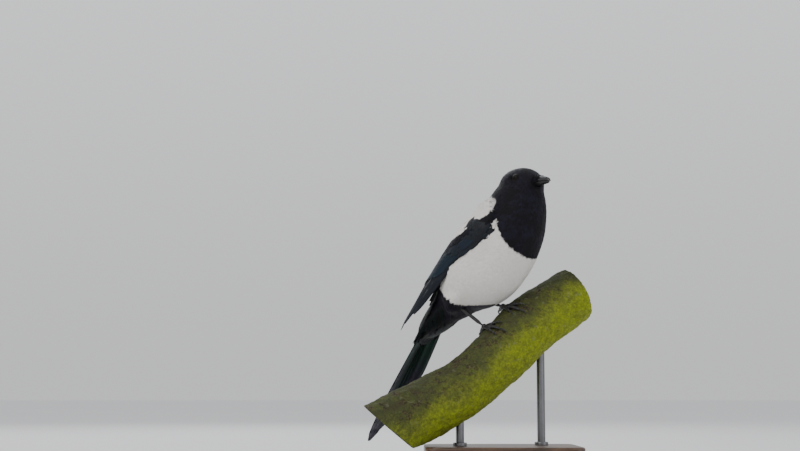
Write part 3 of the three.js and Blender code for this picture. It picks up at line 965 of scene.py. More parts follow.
def outer_shape():
    """The outside of coat and folded wings with the creases filled, which all feathers are laid on."""
    outer = node_copy("outer", *FLESH, "wing_left", "wing_right", *BILL_AND_EYES, swell=0.0006)
    remeshed(outer, 0.002, 4)
    fill_creases(outer, 9)
    set_places(outer, places(outer) - normals(outer) * 0.0003)
    return outer


def keep_under(piece, surface, depth):
    """Pushes a mesh in wherever it comes nearer to the outer shape than the given depth."""
    co = places(piece)
    spot, normal = surface.nearest(co)
    height = ((co - spot) * normal).sum(-1)
    deep = depth * 0.95
    set_places(piece, np.where((height > -deep)[:, None], spot - normal * deep[:, None], co))


class MAGPIE_OT_skin(bpy.types.Operator):
    """One closed skin for head, neck, trunk and thighs, inside the coat"""

    bl_idname = "magpie.skin"
    bl_label = "Skin"

    def execute(self, context):
        plugs = []
        for which, foot in FEET.items():
            ankle, stands = in_stand(foot["ankle"]), in_stand(foot["stands"])
            run = Vector(stands - ankle)
            clear_selection()
            bpy.ops.mesh.primitive_cylinder_add(
                vertices=12,
                radius=0.0031,
                depth=run.length * 0.30,
                location=Vector(ankle) + run * 0.13,
                rotation=run.to_track_quat("Z", "Y").to_euler(),
            )
            plugs.append(added("plug_" + which))
        flesh = node_copy("skin", *FLESH, *BILL_AND_EYES, swell=0.0004)
        skin = remeshed(joined("skin", [flesh, *plugs]), 0.0016, 8)
        co, normal = places(skin), normals(skin)
        spots = in_bird(co)
        on_bill = ease(to_head(spots)[:, 0], 29, 34)
        inward = coat_depth(spots) + 0.4 + 1.6 * on_bill
        set_places(skin, co - normal * inward[:, None] * MM)
        modified(skin, "SMOOTH", factor=0.4, iterations=3)
        outer = outer_shape()
        keep_under(skin, Surface(outer), coat_depth(in_bird(places(skin))) * MM * (1 - on_bill))
        bpy.data.objects.remove(outer)
        mark(skin, "white", whiteness(in_bird(places(skin))))
        mark(skin, "tone", 0.3)
        # A little painted shade on the skin, where it shows between the feathers
        mark(skin, "under", 0.3)
        finished(skin, plumage_material("skin_plumage", lay=False), "plumage_black", *FLESH)
        return {"FINISHED"}


# The coat of contour feathers

CONTOUR_OUTLINE = [[0, 0.35], [0.2, 0.75], [0.42, 1.0], [0.66, 0.95], [0.86, 0.66], [1, 0.30]]
FRAYS = [
    (-0.02, 0.015, -0.01, 0.025, -0.005, 0.02, -0.02),
    (0.01, -0.02, 0.015, 0.00, 0.025, -0.015, 0.005),
    (-0.015, 0.02, 0.005, -0.02, 0.02, -0.01, -0.02),
]
TRIED_ROOTS = 140000
ROOT_SINK, TIP_LIFT = 0.9, 0.08  # how far in a feather's root lies and how far out its tip, in coat depths
TIP_OVER_QUILLS = 0.0012
WING_COVERED = 52
EYE_CLEAR, EYE_CLEAR_TIP = 3.75, 3.45  # how near an eye's axis a feather and its tip come, in millimetres
BILL_EDGE = 29.5


def lie(points):
    """The way the feathers point, at places in the bird's frame."""
    back = unit(to_head(points) - FACE - np.array([6.0, 0, 0]))
    back = turned(back, HEAD_TURN)
    throat = np.clip(-to_head(points)[..., 2:] / 25, 0, 1)
    back = unit(back * (1 - 0.5 * throat) + np.array([-0.35, 0, -0.9]) * throat * 0.8)
    share = head_share(points)[..., None]
    gather = -0.0015 * to_trunk(points)[2][..., None] * LEFT
    return unit(back * share + (gather - ALONG) * (1 - share))


def spread_roots(skin, rng):
    """Roots over the skin, closer together where the feathers are smaller."""
    skin.data.calc_loop_triangles()
    triangles = np.empty(len(skin.data.loop_triangles) * 3, np.int32)
    skin.data.loop_triangles.foreach_get("vertices", triangles)
    corners = places(skin)[triangles.reshape(-1, 3)]
    area = np.linalg.norm(np.cross(corners[:, 1] - corners[:, 0], corners[:, 2] - corners[:, 0]), axis=1) / 2
    gap = root_spacing(in_bird(corners.mean(1)))
    weight = area / gap**2
    chosen = rng.choice(len(area), size=TRIED_ROOTS, p=weight / weight.sum())
    a, b = rng.random(len(chosen)), rng.random(len(chosen))
    flip = a + b > 1
    a, b = np.where(flip, 1 - a, a), np.where(flip, 1 - b, b)
    tri = corners[chosen]
    spots = tri[:, 0] + a[:, None] * (tri[:, 1] - tri[:, 0]) + b[:, None] * (tri[:, 2] - tri[:, 0])
    reach = gap[chosen] * MM
    tree = KDTree(len(spots))
    for i, spot in enumerate(spots.tolist()):
        tree.insert(spot, i)
    tree.balance()
    free, kept = np.ones(len(spots), bool), []
    for i, spot in enumerate(spots.tolist()):
        if free[i]:
            kept.append(i)
            free[[hit[1] for hit in tree.find_range(spot, reach[i])]] = False
    return spots[kept]


def size_share(points):
    """1 on the trunk down to a small share at the face and the bare legs."""
    from_bill = np.linalg.norm(to_head(points) - FACE, axis=-1)
    share = (1 - 0.42 * head_share(points)) * (0.42 + 0.58 * ease(from_bill, 5, 34))
    return share * on_shanks(points, 0.6)


def root_spacing(points):
    """Distance between roots, in millimetres, at places in the bird's frame."""
    return bpy.context.scene.magpie_coat.spacing / MM * size_share(points) ** 0.85


def unwrap(points):
    """The skin's own shape laid flat: angle round the trunk across, distance along it up."""
    along, dorsal, left = to_trunk(points)
    centre = np.interp(along, [-129, -56, 0, 60, 129], [26, 11, 0, 0, 19])
    across = np.arctan2(left, -(dorsal - centre)) / (2 * math.pi) + 0.5
    up = (along + 130) / 270
    return np.stack([0.02 + 0.76 * across, 0.02 + 0.94 * np.clip(up, 0, 1)], -1)


def lay_on(surface, shape, roots, heading, long, wide, low, high, twist, stand=0.72):
    """Copies of a feather laid over a surface: metres, from low at the root to high at the tip.
    The more stand, the flatter the tips lie on the feathers below. Gives the places and the normals."""
    long, wide, low, high = (np.broadcast_to(v, len(roots))[:, None] for v in (long, wide, low, high))
    spot, normal = surface.nearest(roots)
    ahead = unit(heading - (heading * normal).sum(-1, keepdims=True) * normal)
    side = np.cross(ahead, normal)
    ahead = unit(ahead * np.cos(twist)[:, None] + side * np.sin(twist)[:, None])
    side = np.cross(ahead, normal)
    u, v, h = shape["co"].T
    points = spot[:, None] + ahead[:, None] * (v * long)[..., None] + side[:, None] * (u * wide)[..., None]
    foot, out = surface.nearest(points)
    v = np.clip(v, 0, 1)
    rise = low + (high - low) * (stand * (1 - (1 - v) ** 2) + (1 - stand) * v)
    return foot + out * (rise + h * wide)[..., None], out


class MAGPIE_OT_coat(bpy.types.Operator):
    """Contour feathers over the skin, smallest on the face and legs"""

    bl_idname = "magpie.coat"
    bl_label = "Contour feathers"

    def execute(self, context):
        coat = context.scene.magpie_coat
        rng = np.random.default_rng(coat.seed)
        outer = outer_shape()
        surface = Surface(outer)
        shapes = [vane(CONTOUR_OUTLINE, 6, 5, camber=0.03, fray=fray) for fray in FRAYS]
        roots = spread_roots(outer, rng)
        spots = in_bird(roots)
        share = size_share(spots)
        heading = turned(lie(spots), BIRD_TURN)
        mantle = scapular_white(spots) > 0
        long = coat.vane_length * share * rng.uniform(0.88, 1.12, len(roots)) * np.where(mantle, 1.35, 1)
        wide = long * rng.uniform(0.42, 0.56, len(roots)) * (1 - 0.3 * head_share(spots))
        winged = self.on_wing(roots)
        keep = self.clear_of_eyes(spots, heading, long) & self.clear_of_bill(spots)
        keep &= self.in_sight(roots, heading, long) & ~(winged & self.under_coverts(spots))
        laid_out = (roots, spots, heading, long, wide, winged)
        roots, spots, heading, long, wide, winged = (values[keep] for values in laid_out)
        over_quills = winged & (to_trunk(spots)[0] < 50)
        depth = coat_depth(spots) * MM * rng.uniform(0.95, 1.05, len(roots))
        twist = rng.normal(0, 0.07, len(roots))
        tone, kind = rng.random(len(roots)), rng.integers(0, len(shapes), len(roots))
        material = plumage_material("contour_plumage", lay=True)
        regions = self.regions(spots)
        # Painted shade at the roots: 1 where a feather is covered by the one above, falling to 0 three
        # quarters of the way to its tip
        under = 1 - ease(shapes[0]["co"][:, 1], 0.1, 0.75)
        for name in sorted(set(regions)):
            for k, shape in enumerate(shapes):
                here = (regions == name) & (kind == k)
                high = np.where(over_quills[here], TIP_OVER_QUILLS, TIP_LIFT * depth[here])
                laid, lit = lay_on(
                    surface, shape, roots[here], heading[here], long[here], wide[here],
                    -ROOT_SINK * depth[here], high, twist[here],
                )
                spread = in_bird(laid)
                tips = spread[:, np.argmax(shape["co"][:, 1] - np.abs(shape["co"][:, 0]))]
                white = whiteness(0.35 * tips[:, None] + 0.65 * spread, winged[here][:, None])
                piece = feathers(
                    f"coat_{name}_{k + 1}", shape, laid,
                    {"white": white, "tone": tone[here], "under": under[None, :]},
                    unwrap(spots[here]), material, lit=lit,
                )
                settle(piece, "plumage_white" if white.mean() > 0.5 else "plumage_black")
        bpy.data.objects.remove(outer)
        return {"FINISHED"}

    def regions(self, spots):
        """The part of the body that each feather belongs to, and so its piece."""
        along, _, left = to_trunk(spots)
        side = np.where(left > 0, "left", "right")
        tests = [head_share(spots) > 0.5, along > 30, along > -25]
        return np.char.add(np.select(tests, ["head_", "breast_", "belly_"], "vent_"), side)

    def clear_of_eyes(self, spots, heading, long):
        """False for feathers that would cross an eye."""
        ok = np.ones(len(spots), bool)
        ahead = turned(heading, -BIRD_TURN)
        for side in (-1, 1):
            centre, axis = eye_place(side)
            for share in (0.0, 0.35, 0.7, 1.0):
                off = spots + ahead * (long / MM * share)[:, None] - centre
                out = off @ axis
                aside = np.linalg.norm(off - out[:, None] * axis, axis=1)
                ok &= ~((aside < (EYE_CLEAR if share < 0.9 else EYE_CLEAR_TIP)) & (out > 0))
        return ok

    def clear_of_bill(self, spots):
        """False for roots on the bare bill."""
        return to_head(spots)[:, 0] < BILL_EDGE

    def on_wing(self, roots):
        """True for roots that stand on a folded wing rather than on the body."""

        def distance(*nodes):
            trees = [node_tree(node) for node in nodes]
            return np.array([min(tree.find_nearest(p)[3] for tree in trees) for p in roots.tolist()])

        return distance("wing_left", "wing_right") < distance(*FLESH, "tail")

    def under_coverts(self, spots):
        """True where the wing's own coverts and quills take over."""
        along, round_ = round_trunk(spots)
        back = np.interp(along, [-56, -20, 9, 24, 35, 48, 63], [171, 158, 132, 120, 116, 111, 104])
        return (along < WING_COVERED) & (np.degrees(round_) < back) | (along < -56)

    def in_sight(self, roots, heading, long):
        """False for feathers whose root and tip both lie under the tail."""
        tree = node_tree("tail")
        surface = Surface(bpy.data.objects["skin"])
        hidden = np.ones(len(roots), bool)
        for share in (0.1, 1.0):
            spot, normal = surface.nearest(roots + heading * (long * share)[:, None])
            hidden &= np.array([
                tree.ray_cast(Vector(p), Vector(d), 0.02)[0] is not None for p, d in zip(spot, normal)
            ])
        return ~hidden


# Wings

# where each large feather has a patch of its own on the OFBake map
SEPARATE_PATCHES = {"start": (0.02, 0.03), "columns": 12, "cell": (0.08, 0.90)}
FLIGHT_OUTLINE = [[0, 0.35], [0.12, 0.8], [0.4, 1.0], [0.75, 0.98], [0.9, 0.74], [0.97, 0.42], [1, 0.12]]
POINTED_OUTLINE = [[0, 0.35], [0.15, 0.85], [0.4, 1.0], [0.65, 0.86], [0.85, 0.55], [0.95, 0.30], [1, 0.12]]
COVERT_OUTLINE = [[0, 0.35], [0.2, 0.8], [0.5, 1.0], [0.78, 0.95], [0.92, 0.66], [1, 0.26]]


def wing_section(along):
    """Width of the folded wing across its curve, in millimetres."""
    near_n, near_w, far_n, far_w, _ = row(WING, along)
    return 1.08 * np.hypot(near_n - far_n, near_w - far_w)


def wing_place(side, along, across, lift):
    """A place over the folded wing's outer face: across runs from the spine (0) to the flank (1)."""
    near_n, near_w, far_n, far_w, thick = row(WING, np.minimum(along, WING_TOP))
    corner_n, corner_w = near_n * WING_CREST, far_w * WING_CREST
    c = np.clip(across, -0.06, 1.06)
    n = (1 - c) ** 2 * near_n + 2 * c * (1 - c) * corner_n + c**2 * far_n
    w = (1 - c) ** 2 * near_w + 2 * c * (1 - c) * corner_w + c**2 * far_w
    size = np.hypot(n, w)
    round_ = np.clip(1 - (2 * np.clip(across, 0, 1) - 1) ** 2, 0, 1) ** 0.3
    half = round_ * thick / 2 + lift - 30 * (np.maximum(across - 1, 0) + np.maximum(-across, 0))
    return in_stand(from_trunk(along, n + n / size * half, side * (w + w / size * half)))


def lay_on_wing(side, shape, quills):
    """Quills laid over a wing. Columns: along and across at the root and at the tip, width, lift at each."""
    q = np.asarray(quills, float)
    u, v, h = (c[None, :] for c in shape["co"].T)
    a0, c0, a1, c1, wide, low, high = (q[:, k][:, None] for k in range(7))
    along = a0 + (a1 - a0) * v
    across = c0 + (c1 - c0) * v + u * wide / np.maximum(wing_section(along), 14)
    tilt = 0.055 * wide * u * ease(v, 0.1, 0.6)
    return wing_place(side, along, across, low + (high - low) * v + tilt + h * wide)


def bake_grid(count):
    """Places of separate patches on the bake map, for feathers whose colour changes along them."""
    start, columns, cell = SEPARATE_PATCHES.values()
    k = np.arange(count)
    return np.stack([start[0] + (k % columns + 0.5) * cell[0], start[1] + (k // columns + 0.5) * cell[1]], -1)


class MAGPIE_OT_wings(bpy.types.Operator):
    """Folded wings: flight feathers, coverts, the white scapulars and the black mantle between them"""

    bl_idname = "magpie.wings"
    bl_label = "Wings"

    def execute(self, context):
        wings = context.scene.magpie_wings
        material = flight_material("wing_gloss", wings.blue, wings.teal)
        flight = vane(FLIGHT_OUTLINE, 4, 12, camber=0.03, thick=0.016, lopsided=0.08)
        pointed = vane(POINTED_OUTLINE, 4, 14, camber=0.03, thick=0.018, lopsided=0.08)
        coverts = [vane(COVERT_OUTLINE, 6, 6, camber=0.03, fray=fray) for fray in FRAYS]
        outer = outer_shape()
        surface = Surface(outer)
        for side, which in ((-1, "right"), (1, "left")):
            rng = np.random.default_rng(context.scene.magpie_coat.seed + 40 + side)
            self.core(which, surface)
            self.quills(side, which, flight, pointed, material)
            self.coverts(side, which, coverts, surface, material, rng)
        bpy.data.objects.remove(outer)
        return {"FINISHED"}

    def core(self, which, surface):
        """What lies under the flight feathers, so that no gap shows between them."""
        core = remeshed(node_copy(f"wing_{which}_core", "wing_" + which), 0.0011, 6)
        set_places(core, places(core) - normals(core) * 0.0006)
        spots = in_bird(places(core))
        along = to_trunk(spots)[0]
        feathered = np.maximum(ease(along, 40, 54), scapular_white(spots) * ease(along, -10, 8))
        keep_under(core, surface, feathered * 0.0024)
        modified(core, "SMOOTH", factor=0.5, iterations=4)
        end = in_stand(from_trunk(-86.0, 0.0, 0.0))
        with editing(core):
            bpy.ops.mesh.select_all(action="SELECT")
            bpy.ops.mesh.bisect(
                plane_co=end, plane_no=turned(-ALONG, BIRD_TURN), clear_outer=True, use_fill=True
            )
        mark(core, "white", scapular_white(in_bird(places(core))))
        mark(core, "tone", 0.2)
        mark(core, "under", 0.0)
        finished(core, bpy.data.materials["skin_plumage"], "wing_blue", "wing_" + which)

    def quills(self, side, which, flight, pointed, material):
        """Ten primaries, eight secondaries and four tertials. The list of tips runs from the shortest."""
        tips = [(-82, 0.10), (-94, 0.16), (-105, 0.24), (-115, 0.33), (-123, 0.42), (-129, 0.52),
                (-132, 0.63), (-129, 0.75), (-119, 0.87), (-100, 0.97)]
        primaries = [
            [34 - 1.5 * i, 0.50 + 0.043 * i, tip, across, 13, -1.0 - 0.12 * i, 0.9 - 0.13 * i]
            for i, (tip, across) in enumerate(tips)
        ][::-1]
        hem = [0.45 if i in (2, 4) else 0.0 for i in range(len(primaries))]
        secondaries = [
            [30, 0.90 - 0.50 * t, -44 - 28 * t, 0.84 - 0.66 * t, 15, -1.2 + 0.5 * t, 0.7 + 0.8 * t]
            for t in np.linspace(0, 1, 8)
        ]
        secondaries += [
            [22, 0.36 - 0.08 * i, -58 + 16 * i, 0.22 - 0.03 * i, 18, -0.8 + 0.15 * i, 1.6 + 0.15 * i]
            for i in range(4)
        ]
        for label, shape, rows, sheen, drift, hems in (
            ("primaries", pointed, primaries, 0.30, 0.0, hem),
            ("secondaries", flight, secondaries, 0.85, 0.55, 0.0),
        ):
            drift = np.clip(drift + np.linspace(-0.2, 0.3, len(rows)), 0, 1)
            marks = {"white": 0.0, "sheen": sheen, "hem": hems, "drift": drift}
            laid = lay_on_wing(side, shape, rows)
            piece = feathers(
                f"wing_{which}_{label}", shape, laid, marks, bake_grid(len(rows)), material,
                patch=(0.06, 0.8), turned_over=mirrored(shape, laid),
            )
            settle(piece, "wing_blue")

    def coverts(self, side, which, shapes, surface, material, rng):
        """Rows of short feathers: along, across, length, width, lift at root and tip, sheen, drift."""
        rows = []
        for i in range(11):  # greater coverts
            c = 0.42 + 0.056 * i
            along, across = 27 - 10 * (1 - c) + rng.uniform(-2, 2), c + rng.uniform(-0.012, 0.012)
            long, sheen = rng.uniform(31, 36), rng.uniform(0.38, 0.55)
            rows.append([along, across, long, 10.5, -0.6, 0.9, sheen, 0.4 - 0.3 * c])
        for k in range(6):  # median and lesser coverts, smaller towards the shoulder
            t = k / 5
            for i in range(14):
                c = 0.60 + 0.44 * (i + rng.uniform(0.2, 0.8)) / 14
                along = 36 + 4.6 * k - 8 * (1 - c) + rng.uniform(-2, 2)
                sheen = rng.uniform(0.1, 0.4) * (1 - 0.5 * t)
                rows.append([along, c, 24 - 7 * t, 9.0 - 1.5 * t, -0.9, 0.9, sheen, 0.2])
        for i in range(3):  # alula
            rows.append([38 - 5 * i, 0.96 - 0.03 * i, 33 - 6 * i, 7, 0.0, 1.6 + 0.2 * i, 0.6, 0.1])
        q = np.array(rows)
        kind = rng.integers(0, len(shapes), len(q))
        for k, shape in enumerate(shapes):
            along, across, long, wide, low, high, sheen, drift = q[kind == k].T
            roots = wing_place(side, along, across, 0.0)
            heading = unit(wing_place(side, along - long, across - 0.015, 0.0) - roots)
            laid, lit = lay_on(
                surface, shape, roots, heading, long * MM, wide * MM, low * MM, high * MM,
                rng.normal(0, 0.05, len(along)), stand=0.6,
            )
            marks = {"white": 0.0, "sheen": sheen, "hem": 0.0, "drift": drift}
            piece = feathers(
                f"wing_{which}_coverts_{k + 1}", shape, laid, marks, unwrap(in_bird(roots)), material,
                lit=lit, soft=0.5,
            )
            settle(piece, "wing_blue")


# Tail


def tail_place(share, across, level):
    """A place over the tail: share of its length, then millimetres to the left and off its face."""
    back = np.array([-math.cos(TAIL["pitch"]), 0, -math.sin(TAIL["pitch"])])
    up = np.array([-math.sin(TAIL["pitch"]), 0, math.cos(TAIL["pitch"])])
    sag = 5 * np.sin(share * math.pi / 2)
    off = (
        (share * TAIL["length"])[..., None] * back
        + (-0.012 * across**2 + level + sag)[..., None] * up
        + across[..., None] * LEFT
    )
    return in_stand(turned(off, -TAIL["turn"]) + from_trunk(TAIL_BASE[0], TAIL_BASE[1], 0.0))


class MAGPIE_OT_tail(bpy.types.Operator):
    """Twelve graduated tail feathers with the coverts over their bases"""

    bl_idname = "magpie.tail"
    bl_label = "Tail"

    def execute(self, context):
        tail = context.scene.magpie_tail
        material = flight_material("tail_gloss", tail.green, tail.purple, barbs=46.0)
        outline = [[0, 0.55], [0.2, 0.9], [0.6, 1.0], [0.85, 0.92], [0.94, 0.7], [0.985, 0.38], [1, 0.12]]
        shape = vane(outline, 4, 16, camber=0.02, thick=0.02)
        rows = []
        for rank in range(5, -1, -1):
            reach = (1.0, 0.94, 0.86, 0.77, 0.68, 0.58)[rank]
            tip_half = float(row(TAIL_OUTLINE, min(reach * 0.9, 1))[0]) / 2
            for side in (-1, 1):
                wide = 21 - 1.1 * rank
                root = side * (2.5 + 1.2 * rank)
                tip = side * (max(tip_half - wide * 0.5, 0.8 + 1.2 * rank) if rank else 1.0)
                rows.append([reach, root, tip, wide, 2.0 - 0.75 * rank + 0.15 * side])
        q = np.array(rows)
        u, v, h = (c[None, :] for c in shape["co"].T)
        reach, root, tip, wide, level = (q[:, k][:, None] for k in range(5))
        share = v * reach
        across = root + (tip - root) * np.clip(v * 1.25, 0, 1) + u * wide
        laid = tail_place(share, across, level + h * wide)
        marks = {"white": 0.0, "hem": 0.0, "sheen": 0.85, "drift": ease(v, 0.55, 0.95) * 0.8}
        piece = feathers(
            "tail_feathers", shape, laid, marks, bake_grid(len(rows)), material,
            patch=(0.06, 0.85), turned_over=mirrored(shape, laid),
        )
        settle(piece, "tail_green", "tail")
        self.coverts(context, material)
        return {"FINISHED"}

    def coverts(self, context, material):
        """Short feathers that hide where the tail feathers enter the body, above and below."""
        rng = np.random.default_rng(context.scene.magpie_coat.seed + 7)
        covert = vane(COVERT_OUTLINE, 6, 8, camber=0.03, fray=FRAYS[0])
        body = node_copy("rump", "trunk", "tail", "thigh_left", "thigh_right", swell=0.0004)
        remeshed(body, 0.0016, 3)
        fill_creases(body, 12)
        rows = []
        for face, first, count in ((1, -0.17, 18), (-1, -0.02, 12)):
            for k in range(count):
                start = 0.17 + (first - 0.17) * k / (count - 1)
                for i in range(9):
                    across = (i - 4 + rng.uniform(-0.4, 0.4)) * 4.0
                    fan = start + rng.uniform(-0.009, 0.009) - 0.0035 * abs(i - 4) ** 2
                    rows.append([fan, across, face, rng.uniform(26, 34), 1.0 + 0.4 * k / (count - 1)])
        share, across, face, long, lift = np.array(rows).T
        roots = tail_place(share, across, face * (6 + 8 * (1 - ease(share, -0.05, 0.1))))
        zero = np.zeros(len(rows))
        middle = tail_place(share, across, zero)
        heading = unit(tail_place(share + 0.1, across * 1.25, zero) - middle)
        laid, lit = lay_on(
            Surface(body), covert, roots, heading, long * MM, 0.0105, -0.0014, lift * MM,
            rng.normal(0, 0.05, len(rows)),
        )
        bpy.data.objects.remove(body)
        up = unit(tail_place(share, zero, face) - tail_place(share, zero, zero))
        marks = {"white": 0.0, "hem": 0.0, "sheen": 0.2 * rng.random(len(rows)), "drift": 0.0}
        piece = feathers(
            "tail_coverts", covert, laid, marks, unwrap(in_bird(roots)), material,
            lit=unit(lit + 1.5 * up[:, None]), soft=0.9,
        )
        settle(piece, "tail_green")


# Bill and eyes

BRISTLE_OUTLINE = [[0, 0.9], [0.3, 1.0], [0.6, 0.7], [0.85, 0.4], [1, 0.08]]
BRISTLES = 620
LID_SEAT = 0.735  # how far out along the eye's axis the lid sits, in radii


def eye_place(side):
    """Centre and outward axis of an eye, in the bird's frame."""
    centre = from_head([EYE["forward"], side * EYE["side"], EYE["up"]])
    axis = turned(unit(np.array([0.22, side * 1.0, 0.10])), HEAD_TURN)
    return centre, axis


class MAGPIE_OT_bill(bpy.types.Operator):
    """Both halves of the bill, with the bristles over the nostrils"""

    bl_idname = "magpie.bill"
    bl_label = "Bill"

    def execute(self, context):
        head = context.scene.magpie_head
        horn = horn_material("bill_horn", head.horn, 0.36, 420.0)
        for half in ("upper", "lower"):
            piece = remeshed(node_copy(f"bill_{half}_horn", "bill_" + half), 0.0005, 4)
            finished(piece, horn, "bill_horn", "bill_" + half)
        self.bristles(context)
        return {"FINISHED"}

    def bristles(self, context):
        """Fine bristles forward over the bill's base, shorter below it."""
        rng = np.random.default_rng(context.scene.magpie_coat.seed + 3)
        whole = remeshed(node_copy("bill_whole", "bill_upper", "bill_lower"), 0.0007, 6)
        shape = vane(BRISTLE_OUTLINE, 2, 5, camber=0.2)
        angle = rng.uniform(-math.pi, math.pi, BRISTLES)
        below = np.abs(angle) > 1.7
        start = rng.uniform(21, 30.5, BRISTLES) - 3.5 * below
        zero = np.zeros(BRISTLES)
        radial = np.stack([zero, np.sin(angle), np.cos(angle)], -1)
        size = np.interp(start, [18, 24, 30], [10.5, 8.6, 6.5])[:, None]
        roots = in_stand(from_head(np.stack([start, zero, zero - 0.5], -1) + radial * size))
        ahead = unit(np.array([1.0, 0, -0.06]) + 0.16 * radial)
        long = rng.uniform(0.0075, 0.0125, BRISTLES) * np.where(below, 0.7, 1)
        high = rng.uniform(0.0005, 0.0012, BRISTLES)
        laid, lit = lay_on(
            Surface(whole), shape, roots, turned(turned(ahead, HEAD_TURN), BIRD_TURN), long, 0.0010, 0.0002,
            high, rng.normal(0, 0.16, BRISTLES), stand=0.3,
        )
        bpy.data.objects.remove(whole)
        marks = {"white": 0.0, "tone": rng.random(BRISTLES) * 0.5, "under": 0.0}
        material = bpy.data.materials["contour_plumage"]
        piece = feathers("bill_bristles", shape, laid, marks, unwrap(in_bird(roots)), material, lit=lit)
        settle(piece, "plumage_black")


class MAGPIE_OT_eyes(bpy.types.Operator):
    """Wet dark eyes, each in its ring of lid skin"""

    bl_idname = "magpie.eyes"
    bl_label = "Eyes"

    def execute(self, context):
        for side, which in ((-1, "right"), (1, "left")):
            centre, axis = eye_place(side)
            centre, axis = Vector(in_stand(centre)), Vector(turned(axis, BIRD_TURN))
            turn = axis.to_track_quat("Z", "Y")
            radius = EYE["radius"] * MM
            clear_selection()
            bpy.ops.mesh.primitive_uv_sphere_add(
                segments=48, ring_count=32, radius=radius, location=centre, rotation=turn.to_euler()
            )
            ball = added(f"eye_{which}_ball")
            with editing(ball):
                select_where(ball, lambda vert: (vert.co - centre).normalized().dot(axis) > 0.80)
                bpy.ops.transform.translate(value=axis * 0.00025)
            modified(ball, "SMOOTH", factor=0.5, iterations=3)
            finished(ball, eye_material(f"eye_{which}_wet", centre, axis), "eye_brown", "eye_" + which)
            self.lid(which, centre, axis, turn, radius)
        return {"FINISHED"}

    def lid(self, which, centre, axis, turn, radius):
        """A ring of skin round the eye, drawn out and back at its two corners."""
        middle = centre + axis * radius * LID_SEAT
        clear_selection()
        bpy.ops.mesh.primitive_torus_add(
            major_segments=48, minor_segments=12, major_radius=radius * 0.635, minor_radius=radius * 0.058,
            location=middle, rotation=turn.to_euler(),
        )
        lid = added("lid_" + which)
        up = Vector((0, 0, 1)) - axis * axis.z
        up.normalize()
        across = up.cross(axis)
        with editing(lid):
            for end in (-1, 1):
                select_where(lid, lambda vert: (vert.co - middle).dot(across) * end > radius * 0.57)
                bpy.ops.transform.translate(value=across * end * radius * 0.07 - axis * radius * 0.06)
        modified(lid, "SMOOTH", factor=0.5, iterations=2)
        modified(lid, "SUBSURF", levels=1, render_levels=1)
        finished(lid, lid_material(f"lid_{which}_skin"), "plumage_black")


# Feet


class MAGPIE_OT_feet(bpy.types.Operator):
    """Scaled legs and toes with their claws"""

    bl_idname = "magpie.feet"
    bl_label = "Feet"

    def execute(self, context):
        feet = context.scene.magpie_feet
        scales = scale_material("leg_scales")
        claw = horn_material("claw_horn", (0.013, 0.012, 0.012), 0.26, 600.0)
        for which, foot in FEET.items():
            leg = node_copy("leg_" + which, "foot_" + which, swell=0.00028)
            remeshed(leg, feet.voxel, 5)
            mark(leg, "reach", np.linalg.norm(places(leg) - in_stand(foot["stands"]), axis=1))
            finished(leg, scales, "leg_scale", "foot_" + which)
            for toe in ("hind", "inner", "middle", "outer"):
                node = f"claw_{which}_{toe}"
                nail = remeshed(node_copy(f"nail_{which}_{toe}", node, swell=0.00022), 0.0003, 3)
                finished(nail, claw, "claw_horn", node)
        return {"FINISHED"}


# Branch


def perch_axis(x):
    """The branch's axis point at x, in millimetres."""
    return np.stack([x, x * PERCH_RECEDE, row(PERCH_AXIS, x)[0]], -1)


def perch_frame(x):
    """Axis point and the directions along, under and behind the branch at x."""
    along = unit(perch_axis(x + 1) - perch_axis(x - 1))
    under = unit(np.cross(np.broadcast_to(LEFT, along.shape), along))
    return perch_axis(x), along, under, np.cross(along, under)


class MAGPIE_OT_perch(bpy.types.Operator):
    """Cut length of branch, green with algae"""

    bl_idname = "magpie.perch"
    bl_label = "Branch"

    def execute(self, context):
        perch = context.scene.magpie_perch
        branch = remeshed(node_copy("branch", "perch_branch"), 0.0015, 3)
        co = places(branch) / MM
        x = co[:, 0].copy()
        for _ in range(12):
            middle, along, _, _ = perch_frame(x)
            x = np.clip(x + ((co - middle) * along).sum(-1) * along[:, 0], -205, 138)
        middle, along, under, behind = perch_frame(x)
        off = co - middle
        radius = np.maximum(np.linalg.norm(off, axis=1), 1e-6)
        low_a, low_b = np.array(SAWN_LOW[0]), np.array(SAWN_LOW[1])
        edge = low_b - low_a
        out = np.array([edge[1], -edge[0]]) / np.hypot(*edge)
        low = (co[:, [0, 2]] - low_b) @ out
        high_out = unit(np.array([math.cos(SAWN_HIGH["slope"]), PERCH_RECEDE, math.sin(SAWN_HIGH["slope"])]))
        high = (co - np.array([SAWN_HIGH["x"], 0, SAWN_HIGH["z"]])) @ high_out
        sawn = ((low > -0.9) | (high > -0.9)) & (radius < PERCH_RADIUS - 0.2)
        mark(branch, "sawn", sawn)
        mark(branch, "over", -(off * under).sum(-1) / radius)
        mark(branch, "front", -off[:, 1] / radius)
        mark(branch, "ring", radius * MM)
        angle = np.arctan2((off * under).sum(-1), (off * behind).sum(-1))
        grain = np.sin(x / 3.1 + 2.6 * np.sin(angle * 3) + 1.7 * np.sin(x / 17)) * np.sin(angle * 9 + x / 14)
        pits = np.sin(x / 1.9 + 5 * angle) * np.sin(x / 2.7 - 7 * angle)
        relief = np.where(sawn, 0, 0.6 * grain + 0.4 * pits) * perch.relief
        set_places(branch, co * MM + normals(branch) * relief[:, None])
        finished(branch, bark_material("branch_bark"), "bark_moss", "perch_branch", angle=math.radians(40))
        return {"FINISHED"}


# Stand

STAND_CREASE = math.radians(35)


